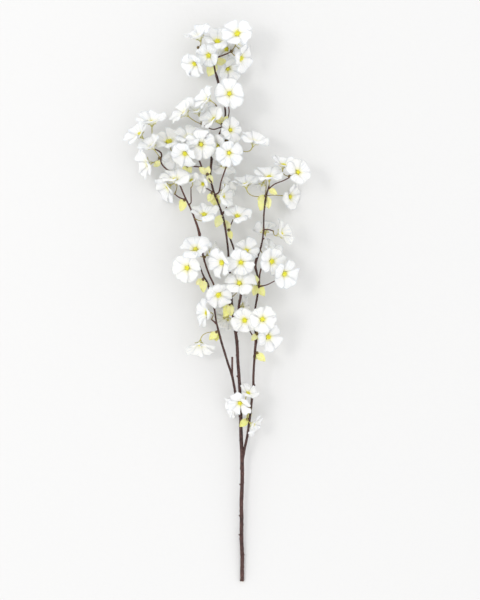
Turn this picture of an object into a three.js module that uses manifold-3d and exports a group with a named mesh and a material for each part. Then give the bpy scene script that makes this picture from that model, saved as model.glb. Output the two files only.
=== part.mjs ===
// A cut spray of peach blossom, lying on a flat surface: a woody branch with three main shoots,
// five-petalled white flowers on short stalks, and tufts of small young leaves.
// Millimetres, +Z up. The origin is under the middle of the spray, on the surface it lies on,
// and the cut end of the branch points along -Y.
import * as THREE from "three";
import { mergeVertices } from "three/addons/utils/BufferGeometryUtils.js";
import Module from "manifold-3d";

const wasm = await Module();
wasm.setup();

// ---------------------------------------------------------------------------------------------
// Driving dimensions

const CLEARANCE = 0.3; // between the wood and whatever sprouts from it
const WOOD_SIDES = 5;
const TWIG_SIDES = 4;
const TWIG_RADIUS = 1.45; // wood thinner than this at its root counts as a twig

const THROAT_RADIUS = 4.2; // where the petals join the cup of the flower
const PETALS = 5;
const PETAL_ROWS = [0.4, 0.76, 1]; // share of the petal's length at each row of its surface
const PETAL_HALF_WIDTHS = [8.2, 12, 8]; // of a flower of full width, at the same rows
const PETAL_THICKNESS = 1.4; // at the middle of the petal, where the cloth is thickest
const PETAL_CUP = 1.5; // how far the petal's edges stand above its middle
const PETAL_BOW = 2.4; // how far the petal bends outwards along its length
const PETAL_FLARE = 0.12; // share of its length that the tip of an upright petal leans out
const PETAL_DROOP = 0.15; // share of its rise that the petal loses towards its tip
const PETAL_WAVE = 0.8; // how far a petal's sides may twist up and down
const SPREAD_VARIES = 7; // degrees between the petals of a flower
const LENGTH_VARIES = 0.06; // share of a petal's length
const BOSS_HEIGHT = 3.4; // tuft of stamens in the middle
const CALYX_DEPTH = 6.5; // green cup under the petals
const WEDGE_SHARE = 0.93; // of the wedge between its neighbours that a petal may fill
const FULL_WIDTH = 46; // a fully open flower, petal tip to petal tip

const STALK_RADIUS = 0.8;
const STALK_SIDES = 3;
const STALK_STEPS = 2;
const STALK_SEAT = 0.75; // share of the calyx that stands clear of the end of the stalk
const STALK_BEND = 0.55; // share of the stalk's reach that runs straight behind the flower
const KNOB_RADIUS = 2.5; // cluster of bud scales that stalks and leaves grow out of
const KNOB_STANDS_OFF = 0.45; // share of its radius that the knob's middle lies off the bark
const LONE_STALK_DEPTH = 0.5; // share of the wood's radius at which a stalk without a knob starts
const LEAF_ROWS = [0.24, 0.52, 0.8];
const LEAF_HALF_WIDTHS = [0.2, 0.3, 0.2]; // share of the leaf's length
const LEAF_THICKNESS = 1.3;
const LEAF_WAVE = 0.09; // share of the leaf's length that its edges rise and fall
const LEAF_FOLD = 0.6; // share of that wave in which both sides of the leaf rise together
const LEAF_SAG = 0.1; // share of its length that the leaf's tip hangs down
const LEAF_WIDTH_VARIES = 0.12;
const NUB_RADIUS = 1.9; // dormant buds on the bark
const NUB_RISE = 0.4; // how far up a bud points, to one part outwards

const GOLDEN_ANGLE = 137.5;

// The wood. Each limb is the line it runs along, root first: [x, y, z, radius].
const LIMBS = {
  leader: [
    [38, -454, 2.6, 3.2], [38, -418, 5, 3.1], [37, -382, 8, 3.1], [37, -350, 10.5, 3],
    [37, -318, 13, 3.1], [38, -290, 15.5, 3], [38, -262, 18, 3.2], [36, -206, 23, 2.9],
    [35, -158, 28, 2.7], [31, -94, 34, 2.5], [29, -62, 37, 2.6], [24, -30, 40, 2.1], [21, 2, 42, 2.1],
    [19, 37, 44, 1.7], [16, 74, 45, 1.6], [13, 102, 46, 1.6], [8, 131, 47, 1.8], [0, 155, 47, 1.6],
    [-8, 176, 47, 1.7], [-13, 200, 48, 1.6], [-11, 226, 48, 2.2], [-9, 243, 47, 2.1],
    [-2, 261, 46, 1.5], [6, 278, 46, 1.5], [11, 299, 46, 1.5], [8, 322, 45, 1.5], [2, 341, 45, 2],
    [-2, 357, 46, 2.1], [-6, 371, 47, 1.3], [-8, 389, 48, 1.1], [-6, 404, 50, 0.9],
  ],
  right: [
    [38, -261, 18, 2], [42, -238, 22, 2.1], [47, -213, 27, 2], [51, -182, 32, 1.9], [54, -155, 35, 1.9],
    [56, -139, 37, 1.9], [56, -120, 39, 1.9], [58, -88, 43, 1.9], [60, -62, 45, 2.3],
    [59, -43, 47, 1.8], [57, -26, 48, 1.6], [60, -5, 51, 1.6], [65, 27, 54, 1.7], [62, 42, 55, 1.6],
    [59, 56, 56, 2.2], [62, 70, 57, 2], [69, 90, 57, 1.4], [72, 114, 57, 1.3], [73, 142, 55, 1.3],
    [76, 166, 53, 1.4], [81, 184, 53, 1.1],
  ],
  middle: [
    [28, -51, 37.5, 1.9], [31, -29, 42, 2], [33, -6, 45, 1.9], [36, 11, 46, 2.1], [35, 37, 45, 1.3],
    [31, 64, 41, 1.3], [24, 85, 39, 1.4], [18, 104, 38, 1.3], [18, 117, 39, 1], [23, 130, 42, 0.9],
  ],
  left: [
    [35, -187, 25, 1.9], [31, -166, 29, 2], [27, -147, 33, 2], [22, -122, 37, 2], [13, -93, 42, 1.8],
    [5, -67, 44, 1.8], [0, -48, 46, 1.7], [-4, -30, 48, 1.4], [-7, -11, 50, 1.5], [-12, 6, 52, 1.9],
    [-17, 27, 52, 1.8], [-24, 40, 52, 1.3], [-30, 56, 53, 1],
  ],
  far_left: [
    [-7, -13, 50, 1.3], [-3, 3, 46, 1.4], [-7, 24, 43, 1.4], [-15, 42, 41, 1.4], [-21, 59, 41, 1.5],
    [-27, 83, 41, 1.7], [-30, 104, 41, 2.3], [-34, 120, 41, 1.9], [-43, 144, 42, 1.4],
    [-53, 165, 44, 1.3], [-62, 186, 46, 1.2], [-69, 203, 47, 1.1], [-82, 210, 47, 1.2],
    [-92, 222, 47, 1.2], [-92, 237, 49, 1.2], [-108, 246, 50, 1],
  ],
  left_fork: [
    [-3, -37, 47, 1.3], [-6, -34, 48, 1.2], [-11, -30, 50, 1],
  ],
  stub: [
    [22, -122, 37, 1.4], [22, -106, 39, 1.5], [22, -90, 41, 1.6],
  ],
  knee: [
    [6, 139, 47, 1.4], [10, 144, 49, 1.6], [14, 150, 51, 1.8],
  ],
  arch: [
    [-6, 170, 47, 1.1], [1, 175, 53, 1.2], [4, 190, 58, 1.1], [11, 210, 61, 1.1], [20, 232, 60, 1.1],
    [21, 246, 58, 1.2], [14, 257, 57, 1.8], [7, 272, 57, 1.3], [4, 290, 58, 1.2], [2, 301, 59, 1.6],
    [-4, 313, 60, 1],
  ],
  high: [
    [7, 282, 46, 1], [13, 288, 52, 1], [17, 301, 58, 1], [16, 312, 62, 0.9],
  ],
  upper_left: [
    [-12, 190, 47.5, 1.4], [-18, 200, 51, 1.6], [-26, 213, 54, 1.3], [-32, 227, 56, 1.5],
    [-40, 234, 58, 1],
  ],
  cross: [
    [-26, 214, 54.3, 1], [-42, 216, 52, 1.1], [-55, 221, 51, 1.2], [-65, 229, 52, 1.1],
  ],
  twig_a: [
    [-8, 174, 47, 0.9], [-15, 178, 48, 0.9], [-21, 182, 50, 0.9],
  ],
  twig_b: [
    [-48, 154, 43, 0.9], [-44, 158, 47, 0.9], [-44, 170, 51, 0.9], [-44, 181, 54, 0.8],
  ],
  twig_c: [
    [-52, 162, 44, 1], [-63, 166, 47, 1], [-70, 171, 49, 0.9],
  ],
  top_right: [
    [-8, 386, 48, 1], [-2, 390, 50, 1.1], [9, 394, 53, 1.2], [19, 398, 55, 0.9],
  ],
  top_left: [
    [-8, 392, 48.5, 1], [-12, 401, 50, 1.1], [-21, 406, 52, 1], [-33, 406, 54, 0.9],
  ],
  right_out: [
    [80, 179, 53, 1], [90, 187, 55, 0.9], [103, 192, 57, 0.9], [113, 197, 58, 0.9],
  ],
  right_mid: [
    [72, 114, 57, 0.9], [80, 114, 60, 0.9], [87, 112, 62, 0.9],
  ],
  right_in: [
    [65, 29, 54, 1.3], [66, 42, 58, 1.3], [69, 53, 61, 1.2], [73, 61, 64, 1],
  ],
  west: [
    [5, 278, 57, 0.9], [-9, 275, 50, 0.9], [-25, 282, 46, 0.9],
  ],
  right_low: [
    [65, 23, 54, 1], [78, 26, 59, 0.9], [90, 32, 62, 0.9],
  ],
  low_right: [
    [60, -62, 45, 1.1], [55, -56, 48, 1.1], [50, -48, 50, 0.9],
  ],
};

// Spurs: short knobs of bud scales on the wood, nearest to the point `at` of their limb. A blossom
// is [x, y, z of its middle, lean from upright, compass direction it faces, spread of its petals
// from its axis, width]: millimetres and degrees, with east as 0 and north, along +Y, as 90. One
// with null for z lies on the surface. A leaf is [direction, rise, length].
const SPURS = [
  {
    limb: "top_left",
    at: [-33, 406],
    blossoms: [
      [-30, 422, 62, 66, 112, 55, 52],
      [-36, 382, 46, 52, 225, 62, 46],
    ],
    leaves: [],
  },
  {
    limb: "leader",
    at: [-6, 404],
    blossoms: [
      [4, 414, 60, 48, 80, 60, 50],
      [-18, 395, 62, 30, 215, 66, 40],
    ],
    leaves: [],
  },
  {
    limb: "top_right",
    at: [19, 398],
    blossoms: [
      [25, 426, 74, 24, 120, 72, 48],
      [12, 402, 40, 40, 200, 66, 40],
      [34, 390, 56, 62, 340, 60, 48],
      [31, 408, 47, 65, 25, 54, 47],
    ],
    leaves: [],
  },
  {
    limb: "leader",
    at: [-7, 384],
    blossoms: [
      [15, 374, 44, 48, 310, 62, 44],
    ],
    leaves: [[183, 0, 22], [245, -8, 27], [355, 10, 20]],
  },
  { limb: "high", at: [16, 312], blossoms: [[12, 328, 76, 8, 90, 78, 47]], leaves: [] },
  { limb: "arch", at: [-4, 313], blossoms: [[-19, 318, 70, 65, 150, 54, 45]], leaves: [] },
  {
    limb: "arch",
    at: [5, 282],
    blossoms: [
      [-16, 290, 72, 62, 140, 54, 48],
      [20, 275, 60, 35, 20, 70, 40],
    ],
    leaves: [[112, 5, 19], [55, 0, 17]],
  },
  {
    limb: "arch",
    at: [14, 257],
    blossoms: [
      [57, 256, 60, 65, 72, 54, 51],
      [1, 243, 60, 45, 200, 66, 40],
    ],
    leaves: [],
  },
  {
    limb: "west",
    at: [-25, 282],
    blossoms: [
      [-34, 308, 46, 62, 105, 55, 46],
      [-52, 299, 58, 65, 138, 54, 51],
    ],
    leaves: [],
  },
  {
    limb: "arch",
    at: [21, 238],
    blossoms: [
      [17, 235, 82, 18, 290, 76, 42],
      [6, 213, 42, 120, 255, 65, 42],
    ],
    leaves: [],
  },
  {
    limb: "upper_left",
    at: [-40, 234],
    blossoms: [
      [-29, 250, 74, 8, 250, 78, 47],
      [-50, 237, 72, 42, 240, 64, 44],
      [-50, 262, 60, 48, 95, 62, 46],
    ],
    leaves: [],
  },
  {
    limb: "cross",
    at: [-65, 229],
    blossoms: [
      [-78, 256, 64, 50, 98, 62, 52],
      [-71, 226, 50, 52, 262, 60, 48],
    ],
    leaves: [],
  },
  {
    limb: "far_left",
    at: [-108, 246],
    blossoms: [
      [-103, 286, 60, 65, 92, 54, 53],
      [-130, 274, 54, 65, 138, 54, 51],
    ],
    leaves: [],
  },
  {
    limb: "far_left",
    at: [-92, 229],
    blossoms: [
      [-116, 224, 48, 65, 192, 54, 53],
      [-106, 243, 66, 62, 128, 54, 44],
    ],
    leaves: [],
  },
  { limb: "far_left", at: [-71, 206], blossoms: [[-70, 203, 72, 60, 98, 60, 52]], leaves: [] },
  { limb: "twig_c", at: [-70, 171], blossoms: [[-86, 182, null, 66, 212, 54, 50]], leaves: [] },
  { limb: "twig_b", at: [-44, 181], blossoms: [[-44, 194, 64, 50, 120, 58, 28]], leaves: [] },
  { limb: "twig_a", at: [-21, 182], blossoms: [[-26, 187, 50, 50, 190, 62, 32]], leaves: [] },
  { limb: "arch", at: [3, 181], blossoms: [[15, 184, 28, 110, 30, 65, 38]], leaves: [] },
  { limb: "leader", at: [-4, 165], blossoms: [[10, 163, 58, 65, 15, 58, 42]], leaves: [] },
  { limb: "far_left", at: [-38, 132], blossoms: [[-23, 141, 62, 55, 88, 62, 46]], leaves: [] },
  { limb: "middle", at: [23, 130], blossoms: [[30, 141, 62, 55, 85, 66, 46]], leaves: [] },
  {
    limb: "right",
    at: [76, 168],
    blossoms: [
      [44, 192, 58, 68, 97, 54, 48],
      [70, 184, 34, 100, 250, 62, 40],
      [118, 168, null, 55, 350, 66, 46],
    ],
    leaves: [[250, 10, 26], [285, 12, 22], [205, 0, 15]],
  },
  { limb: "right", at: [81, 184], blossoms: [[81, 202, 66, 60, 92, 60, 50]], leaves: [] },
  {
    limb: "right_out",
    at: [113, 197],
    blossoms: [
      [127, 206, 66, 32, 30, 72, 44],
      [105, 218, 54, 65, 78, 54, 45],
    ],
    leaves: [],
  },
  { limb: "right_mid", at: [87, 112], blossoms: [[103, 109, 60, 65, 25, 54, 49]], leaves: [] },
  { limb: "right", at: [72, 122], blossoms: [[74, 114, 34, 120, 100, 60, 42]], leaves: [] },
  { limb: "right", at: [66, 82], blossoms: [[81, 85, 50, 65, 42, 54, 45]], leaves: [] },
  { limb: "right_in", at: [73, 61], blossoms: [[87, 62, 76, 28, 330, 74, 46]], leaves: [] },
  {
    limb: "right",
    at: [65, 26],
    blossoms: [
      [49, 27, 44, 66, 165, 60, 44],
    ],
    leaves: [[125, 28, 23], [250, 12, 20], [300, 22, 24]],
  },
  {
    limb: "middle",
    at: [32, 62],
    blossoms: [
      [44, 82, 70, 34, 60, 70, 42],
      [34, 58, 80, 15, 270, 76, 44],
    ],
    leaves: [],
  },
  { limb: "leader", at: [18, 50], blossoms: [[9, 62, 72, 52, 195, 62, 46]], leaves: [] },
  {
    limb: "far_left",
    at: [-24, 70],
    blossoms: [
      [-16, 80, 44, 65, 40, 54, 47],
      [-36, 80, 64, 42, 100, 68, 50],
    ],
    leaves: [],
  },
  { limb: "left", at: [-30, 56], blossoms: [[-52, 54, 66, 24, 200, 74, 48]], leaves: [] },
  { limb: "leader", at: [20, 6], blossoms: [[30, 29, 80, 35, 90, 74, 48]], leaves: [] },
  { limb: "left", at: [-10, 0], blossoms: [[-2, 10, 63, 35, 280, 72, 44]], leaves: [] },
  { limb: "left_fork", at: [-11, -30], blossoms: [[-20, -18, 44, 65, 182, 54, 47]], leaves: [] },
  { limb: "middle", at: [33, -8], blossoms: [[39, -8, 32, 110, 0, 62, 40]], leaves: [] },
  { limb: "leader", at: [23, -19], blossoms: [[12, -29, null, 130, 240, 66, 46]], leaves: [] },
  { limb: "low_right", at: [50, -48], blossoms: [[42, -30, 66, 25, 200, 74, 42]], leaves: [] },
  {
    limb: "right",
    at: [60, -53],
    blossoms: [
      [70, -30, 78, 12, 45, 77, 44],
      [81, -58, 60, 42, 335, 72, 46],
    ],
    leaves: [[230, 25, 15], [300, -30, 14]],
  },
  {
    limb: "left",
    at: [0, -49],
    blossoms: [
      [-30, -74, 46, 65, 265, 54, 51],
    ],
    leaves: [[225, 20, 19], [265, -25, 17]],
  },
  {
    limb: "right",
    at: [52, -174],
    blossoms: [
      [34, -163, 56, 40, 250, 62, 40],
      [47, -146, 48, 60, 60, 60, 36],
      [60, -200, 36, 68, 330, 58, 38],
    ],
    leaves: [],
  },
  { limb: "leader", at: [36, -171], blossoms: [[23, -173, 28, 66, 200, 60, 38]], leaves: [] },
  { limb: "right_low", at: [90, 32], blossoms: [[106, 43, 66, 38, 330, 70, 46]], leaves: [] },
  {
    limb: "upper_left",
    at: [-20, 202],
    blossoms: [],
    leaves: [[140, 15, 18], [80, 30, 15], [300, -15, 18]],
  },
  { limb: "leader", at: [-8, 174], blossoms: [], leaves: [[245, 5, 16], [293, -10, 26]] },
  { limb: "leader", at: [6, 138], blossoms: [], leaves: [[245, 5, 22]] },
  { limb: "middle", at: [18, 114], blossoms: [], leaves: [[112, 0, 18], [285, 10, 16]] },
  { limb: "far_left", at: [-52, 163], blossoms: [], leaves: [[250, 5, 20], [215, -40, 15]] },
  { limb: "right", at: [80, 180], blossoms: [], leaves: [[325, 0, 17]] },
  { limb: "far_left", at: [-92, 224], blossoms: [], leaves: [[215, -15, 15]] },
  { limb: "left", at: [-22, 36], blossoms: [], leaves: [[270, 10, 22], [215, -20, 16]] },
  { limb: "leader", at: [21, -5], blossoms: [], leaves: [[245, 15, 24], [275, 25, 21], [200, -30, 17]] },
  { limb: "right", at: [58, -83], blossoms: [], leaves: [[315, 15, 20], [250, -20, 14]] },
  { limb: "right", at: [51, -191], blossoms: [], leaves: [[222, 20, 19], [75, -25, 17]] },
  { limb: "cross", at: [-49, 219], blossoms: [], leaves: [[235, -10, 15], [300, -20, 14]] },
];

// Dormant buds on the wood: [limb, x, y, compass direction they stand out in].
const NUBS = [
  ["leader", 37, -298, 180],
  ["leader", 37, -349, 180],
  ["leader", 37, -379, 200],
  ["right", 46, -221, 40],
  ["right", 56, -138, 35],
  ["leader", 37, -414, 20],
  ["leader", 33, -123, 170],
  ["right", 70, 98, 20],
  ["far_left", -29, 93, 180],
];

// How blossoms make room for each other: round feelers on each, pushed apart step by step.
const FEELERS = { // [share of the petal's length, share of its half width]
  petal: [[0.4, 0], [0.7, 0.65], [0.7, -0.65], [1, 0.6], [1, -0.6]],
  radius: 4,
  stalk: [0.4, 0.65, 0.88], // shares of the stalk's length
  stalkRadius: 1.7,
  leafRadius: 2.6,
  woodMargin: 1.0,
  woodStep: 7,
};
const SETTLE_STEPS = 150;
const SETTLE_SHARE = 0.3; // of an overlap, cleared in each step
const SIDEWAYS_SHARE = 0.6; // blossoms give way mostly up and down
const MOST_SIDEWAYS = 6;
const MOST_A_STEP = 1.5;
const OUT_OF_REACH = 74; // blossoms whose middles are further apart than this never meet
const STALK_FREE = 12; // the first part of a stalk may pass close to wood and leaves
const LOWEST = 2; // height at which blossoms that do not rest on the surface stay
const RESTING_AIM = 10; // height that the knob of a resting blossom points at

// ---------------------------------------------------------------------------------------------
// Small sums

const rad = THREE.MathUtils.degToRad;

// A repeatable number from -1 to 1 for a pair of counts.
function vary(i, k) {
  const s = Math.sin(i * 12.9898 + k * 78.233) * 43758.5453;
  return 2 * (s - Math.floor(s)) - 1;
}

function vec(x, y, z) {
  return new THREE.Vector3(x, y, z);
}

// ---------------------------------------------------------------------------------------------
// Solids

// A closed solid from a list of vertices and triangles.
function solid(vertices, triangles) {
  return new wasm.Manifold(new wasm.Mesh({
    numProp: 3,
    vertProperties: new Float32Array(vertices.flatMap((v) => [v.x, v.y, v.z])),
    triVerts: new Uint32Array(triangles.flat()),
  }));
}

function join(solids) {
  return wasm.Manifold.union(solids);
}

// A mesh from a solid, with its largest body only: cuts can leave crumbs behind.
function meshOf(name, shape, material) {
  const bodies = shape.decompose();
  const body = bodies.reduce((a, b) => (b.volume() > a.volume() ? b : a));
  const made = body.getMesh();
  const geometry = new THREE.BufferGeometry();
  geometry.setAttribute("position", new THREE.BufferAttribute(made.vertProperties, made.numProp));
  geometry.setIndex(new THREE.BufferAttribute(made.triVerts, 1));
  geometry.computeVertexNormals();
  const mesh = new THREE.Mesh(geometry, material);
  mesh.name = name;
  return mesh;
}

// A rod along a list of points with a radius at each, cut square at its ends.
function rod(points, radii, sides) {
  const vertices = [];
  const triangles = [];
  const last = points.length - 1;
  let side = null;
  points.forEach((p, i) => {
    const along = points[Math.min(i + 1, last)].clone().sub(points[Math.max(i - 1, 0)]).normalize();
    if (!side) side = Math.abs(along.z) > 0.8 ? vec(1, 0, 0) : vec(0, 0, 1);
    side = side.clone().addScaledVector(along, -side.dot(along)).normalize();
    const other = along.clone().cross(side);
    for (let k = 0; k < sides; k++) {
      const a = (2 * Math.PI * (k + 0.5)) / sides;
      vertices.push(p.clone()
        .addScaledVector(side, -radii[i] * Math.cos(a))
        .addScaledVector(other, -radii[i] * Math.sin(a)));
    }
  });
  for (let i = 0; i < last; i++) {
    for (let k = 0; k < sides; k++) {
      const a = i * sides + k;
      const b = i * sides + ((k + 1) % sides);
      triangles.push([a, b, b + sides], [a, b + sides, a + sides]);
    }
  }
  for (let k = 1; k + 1 < sides; k++) {
    triangles.push([0, k + 1, k]);
    triangles.push([last * sides, last * sides + k, last * sides + k + 1]);
  }
  return solid(vertices, triangles);
}

// A small faceted ball.
function ball(centre, radius) {
  const shape = new THREE.OctahedronGeometry(radius, 0);
  shape.deleteAttribute("normal");
  shape.deleteAttribute("uv");
  const merged = mergeVertices(shape, 1e-3);
  const at = merged.attributes.position;
  const vertices = [];
  for (let i = 0; i < at.count; i++) vertices.push(vec(at.getX(i), at.getY(i), at.getZ(i)).add(centre));
  const triangles = [];
  for (let i = 0; i < merged.index.count; i += 3) {
    triangles.push([merged.index.getX(i), merged.index.getX(i + 1), merged.index.getX(i + 2)]);
  }
  return solid(vertices, triangles);
}

// ---------------------------------------------------------------------------------------------
// The wood

// The place on a limb nearest to (x, y) in plan: its point, and the limb's radius and run there.
function onLimb(name, x, y) {
  const limb = LIMBS[name];
  let best = null;
  for (let i = 0; i + 1 < limb.length; i++) {
    const [ax, ay, az, ar] = limb[i];
    const [bx, by, bz, br] = limb[i + 1];
    const square = (bx - ax) ** 2 + (by - ay) ** 2;
    const t = THREE.MathUtils.clamp(((x - ax) * (bx - ax) + (y - ay) * (by - ay)) / square, 0, 1);
    const point = vec(ax, ay, az).lerp(vec(bx, by, bz), t);
    const distance = Math.hypot(point.x - x, point.y - y);
    if (best && best.distance <= distance) continue;
    best = {
      distance,
      point,
      radius: THREE.MathUtils.lerp(ar, br, t),
      along: vec(bx - ax, by - ay, bz - az).normalize(),
      isTip: i + 2 === limb.length && t === 1,
    };
  }
  return best;
}

// All the wood in one solid, thicker by `margin` all over.
function wood(margin) {
  const rods = Object.values(LIMBS).map((limb) => {
    const points = limb.map(([x, y, z]) => vec(x, y, z));
    const radii = limb.map((point) => point[3] + margin);
    const last = points.length - 1;
    const tip = points[last].clone().sub(points[last - 1]).normalize();
    points[last].addScaledVector(tip, margin);
    return rod(points, radii, limb[0][3] > TWIG_RADIUS ? WOOD_SIDES : TWIG_SIDES);
  });
  const nubs = NUBS.map(([limb, x, y, direction]) => {
    const { point, radius } = onLimb(limb, x, y);
    const out = vec(Math.cos(rad(direction)), Math.sin(rad(direction)), NUB_RISE).normalize();
    return ball(point.clone().addScaledVector(out, radius), NUB_RADIUS + margin);
  });
  return join([...rods, ...nubs]);
}

// ---------------------------------------------------------------------------------------------
// The blossoms

// The turn of a blossom: it leans by `lean` from upright towards the compass direction `toward`.
function facing(lean, toward, turn) {
  return new THREE.Matrix4().makeRotationZ(rad(toward))
    .multiply(new THREE.Matrix4().makeRotationY(rad(lean)))
    .multiply(new THREE.Matrix4().makeRotationZ(rad(turn - toward)));
}

// The shape of petal k of blossom i in the blossom's own frame, where +Z is the way it faces:
// s runs from the throat, 0, to the tip, 1, and u across it, from -1 to 1.
function petalPoint(blossom, k, s, u) {
  const { index, spread, scale } = blossom;
  const open = rad(spread + SPREAD_VARIES * vary(index, k));
  const length = (FULL_WIDTH / 2 - THROAT_RADIUS) * (1 + LENGTH_VARIES * vary(index, k + 5));
  const out = THROAT_RADIUS + length * (s * Math.sin(open) + PETAL_FLARE * s * s * Math.cos(open));
  const rise = length * s * Math.cos(open) * (1 - PETAL_DROOP * s);
  const bow = PETAL_BOW * Math.sin(Math.PI * s);
  const cup = PETAL_CUP * u * u * Math.sin(Math.PI * Math.min(s, 0.85));
  const wave = PETAL_WAVE * u * Math.sin(Math.PI * s) * vary(index, k + 10);
  const half = Math.min(halfWidth(s), WEDGE_SHARE * out * Math.tan(Math.PI / PETALS));
  return vec(out, u * half, rise + bow + cup + wave)
    .multiplyScalar(scale)
    .applyAxisAngle(vec(0, 0, 1), (2 * Math.PI * k) / PETALS);
}

// Half the petal's width at a share s of its length.
function halfWidth(s) {
  const rows = [0, ...PETAL_ROWS];
  const widths = [THROAT_RADIUS * Math.tan(Math.PI / PETALS), ...PETAL_HALF_WIDTHS];
  const i = Math.min(rows.findLastIndex((r) => r <= s), rows.length - 2);
  return THREE.MathUtils.mapLinear(s, rows[i], rows[i + 1], widths[i], widths[i + 1]);
}

// One closed corolla with its tuft of stamens above and its calyx below.
function corolla(blossom) {
  const { scale } = blossom;
  const top = [];
  const bottom = [];
  const rim = [];
  const vertices = [];
  const triangles = [];
  const add = (v) => vertices.push(v) - 1;
  const apex = add(vec(0, 0, BOSS_HEIGHT * scale));
  const foot = add(vec(0, 0, -CALYX_DEPTH * scale));
  const lift = vec(0, 0, (PETAL_THICKNESS / 2) * scale);
  const corner = (k) => vec(THROAT_RADIUS / Math.cos(Math.PI / PETALS), 0, 0)
    .multiplyScalar(scale)
    .applyAxisAngle(vec(0, 0, 1), (2 * Math.PI * (k - 0.5)) / PETALS);
  for (let k = 0; k < PETALS; k++) rim.push(add(corner(k)));
  for (let k = 0; k < PETALS; k++) {
    const rows = [];
    const middle = vec(THROAT_RADIUS, 0, 0)
      .multiplyScalar(scale)
      .applyAxisAngle(vec(0, 0, 1), (2 * Math.PI * k) / PETALS);
    top.push(add(middle.clone().add(lift)));
    bottom.push(add(middle.clone().sub(lift)));
    PETAL_ROWS.forEach((s, row) => {
      const left = add(petalPoint(blossom, k, s, -1));
      const right = add(petalPoint(blossom, k, s, 1));
      const isTip = row === PETAL_ROWS.length - 1;
      const spine = petalPoint(blossom, k, s, 0);
      rows.push(isTip
        ? { left, right }
        : { left, right, above: add(spine.clone().add(lift)), below: add(spine.clone().sub(lift)) });
    });
    petalFaces(triangles, rim[k], rim[(k + 1) % PETALS], top[k], rows, "above", false);
    petalFaces(triangles, rim[k], rim[(k + 1) % PETALS], bottom[k], rows, "below", true);
  }
  for (let k = 0; k < PETALS; k++) {
    const next = rim[(k + 1) % PETALS];
    triangles.push([apex, rim[k], top[k]], [apex, top[k], next]);
    triangles.push([foot, bottom[k], rim[k]], [foot, next, bottom[k]]);
  }
  const placed = vertices.map((v) => v.applyMatrix4(blossom.turn).add(blossom.throat));
  return solid(placed, triangles);
}

// The faces of one side of a petal: strips between its rows, flipped on its underside.
function petalFaces(triangles, leftFoot, rightFoot, foot, rows, spine, flip) {
  const push = (a, b, c) => triangles.push(flip ? [a, c, b] : [a, b, c]);
  let before = { left: leftFoot, middle: foot, right: rightFoot };
  for (const row of rows) {
    const middle = row[spine];
    if (middle === undefined) {
      push(before.left, row.left, before.middle);
      push(before.middle, row.left, row.right);
      push(before.middle, row.right, before.right);
    } else {
      push(before.left, row.left, before.middle);
      push(before.middle, row.left, middle);
      push(before.middle, middle, row.right);
      push(before.middle, row.right, before.right);
    }
    before = { left: row.left, middle, right: row.right };
  }
}

// The flower's stalk: from the middle of its spur to the foot of its calyx, along its own axis.
function stalkPoint(blossom, t) {
  const axis = vec(0, 0, 1).transformDirection(blossom.turn);
  const foot = blossom.throat.clone()
    .addScaledVector(axis, -STALK_SEAT * CALYX_DEPTH * blossom.scale);
  const reach = foot.distanceTo(blossom.root);
  const bend = foot.clone().addScaledVector(axis, -STALK_BEND * reach);
  return blossom.root.clone().multiplyScalar((1 - t) * (1 - t))
    .addScaledVector(bend, 2 * t * (1 - t))
    .addScaledVector(foot, t * t);
}

function stalk(blossom) {
  const points = [];
  for (let i = 0; i <= STALK_STEPS; i++) points.push(stalkPoint(blossom, i / STALK_STEPS));
  return rod(points, points.map(() => STALK_RADIUS), STALK_SIDES);
}

// ---------------------------------------------------------------------------------------------
// The leaves

// A point of leaf l: s runs along it and u across it, from -1 to 1.
function leafPoint(leaf, s, u) {
  const { root, toward, rise, length, index } = leaf;
  const out = vec(Math.cos(rad(toward)), Math.sin(rad(toward)), 0);
  const along = out.clone().multiplyScalar(Math.cos(rad(rise))).setZ(Math.sin(rad(rise)));
  const across = vec(-out.y, out.x, 0);
  const up = along.clone().cross(across);
  const row = LEAF_ROWS.indexOf(s);
  const half = row < 0 ? 0 : LEAF_HALF_WIDTHS[row] * length;
  const twist = (1 - LEAF_FOLD) * u * (row % 2 ? 1 : -1);
  const wave = LEAF_WAVE * length * (LEAF_FOLD * u * u + twist);
  return root.clone()
    .addScaledVector(along, s * length)
    .addScaledVector(across, u * half * (1 + LEAF_WIDTH_VARIES * vary(index, row)))
    .addScaledVector(up, wave - LEAF_SAG * length * s * s);
}

// One leaf: a thin closed blade, pointed at both ends, with waved edges.
function leafBlade(leaf) {
  const vertices = [leafPoint(leaf, 0, 0), leafPoint(leaf, 1, 0)];
  const triangles = [];
  const lift = vec(0, 0, LEAF_THICKNESS / 2);
  const rows = LEAF_ROWS.map((s) => {
    const spine = leafPoint(leaf, s, 0);
    const first = vertices.length;
    vertices.push(leafPoint(leaf, s, 1), leafPoint(leaf, s, -1));
    vertices.push(spine.clone().add(lift), spine.clone().sub(lift));
    return { left: first + 1, right: first, above: first + 2, below: first + 3 };
  });
  for (const [spine, flip] of [["above", false], ["below", true]]) {
    const push = (a, b, c) => triangles.push(flip ? [a, c, b] : [a, b, c]);
    push(0, rows[0].left, rows[0][spine]);
    push(0, rows[0][spine], rows[0].right);
    for (let i = 0; i + 1 < rows.length; i++) {
      const a = rows[i];
      const b = rows[i + 1];
      push(a.left, b.left, a[spine]);
      push(a[spine], b.left, b[spine]);
      push(a[spine], b[spine], b.right);
      push(a[spine], b.right, a.right);
    }
    const tip = rows[rows.length - 1];
    push(tip.left, 1, tip[spine]);
    push(tip[spine], 1, tip.right);
  }
  return solid(vertices, triangles);
}

// ---------------------------------------------------------------------------------------------
// Where everything sits

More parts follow.
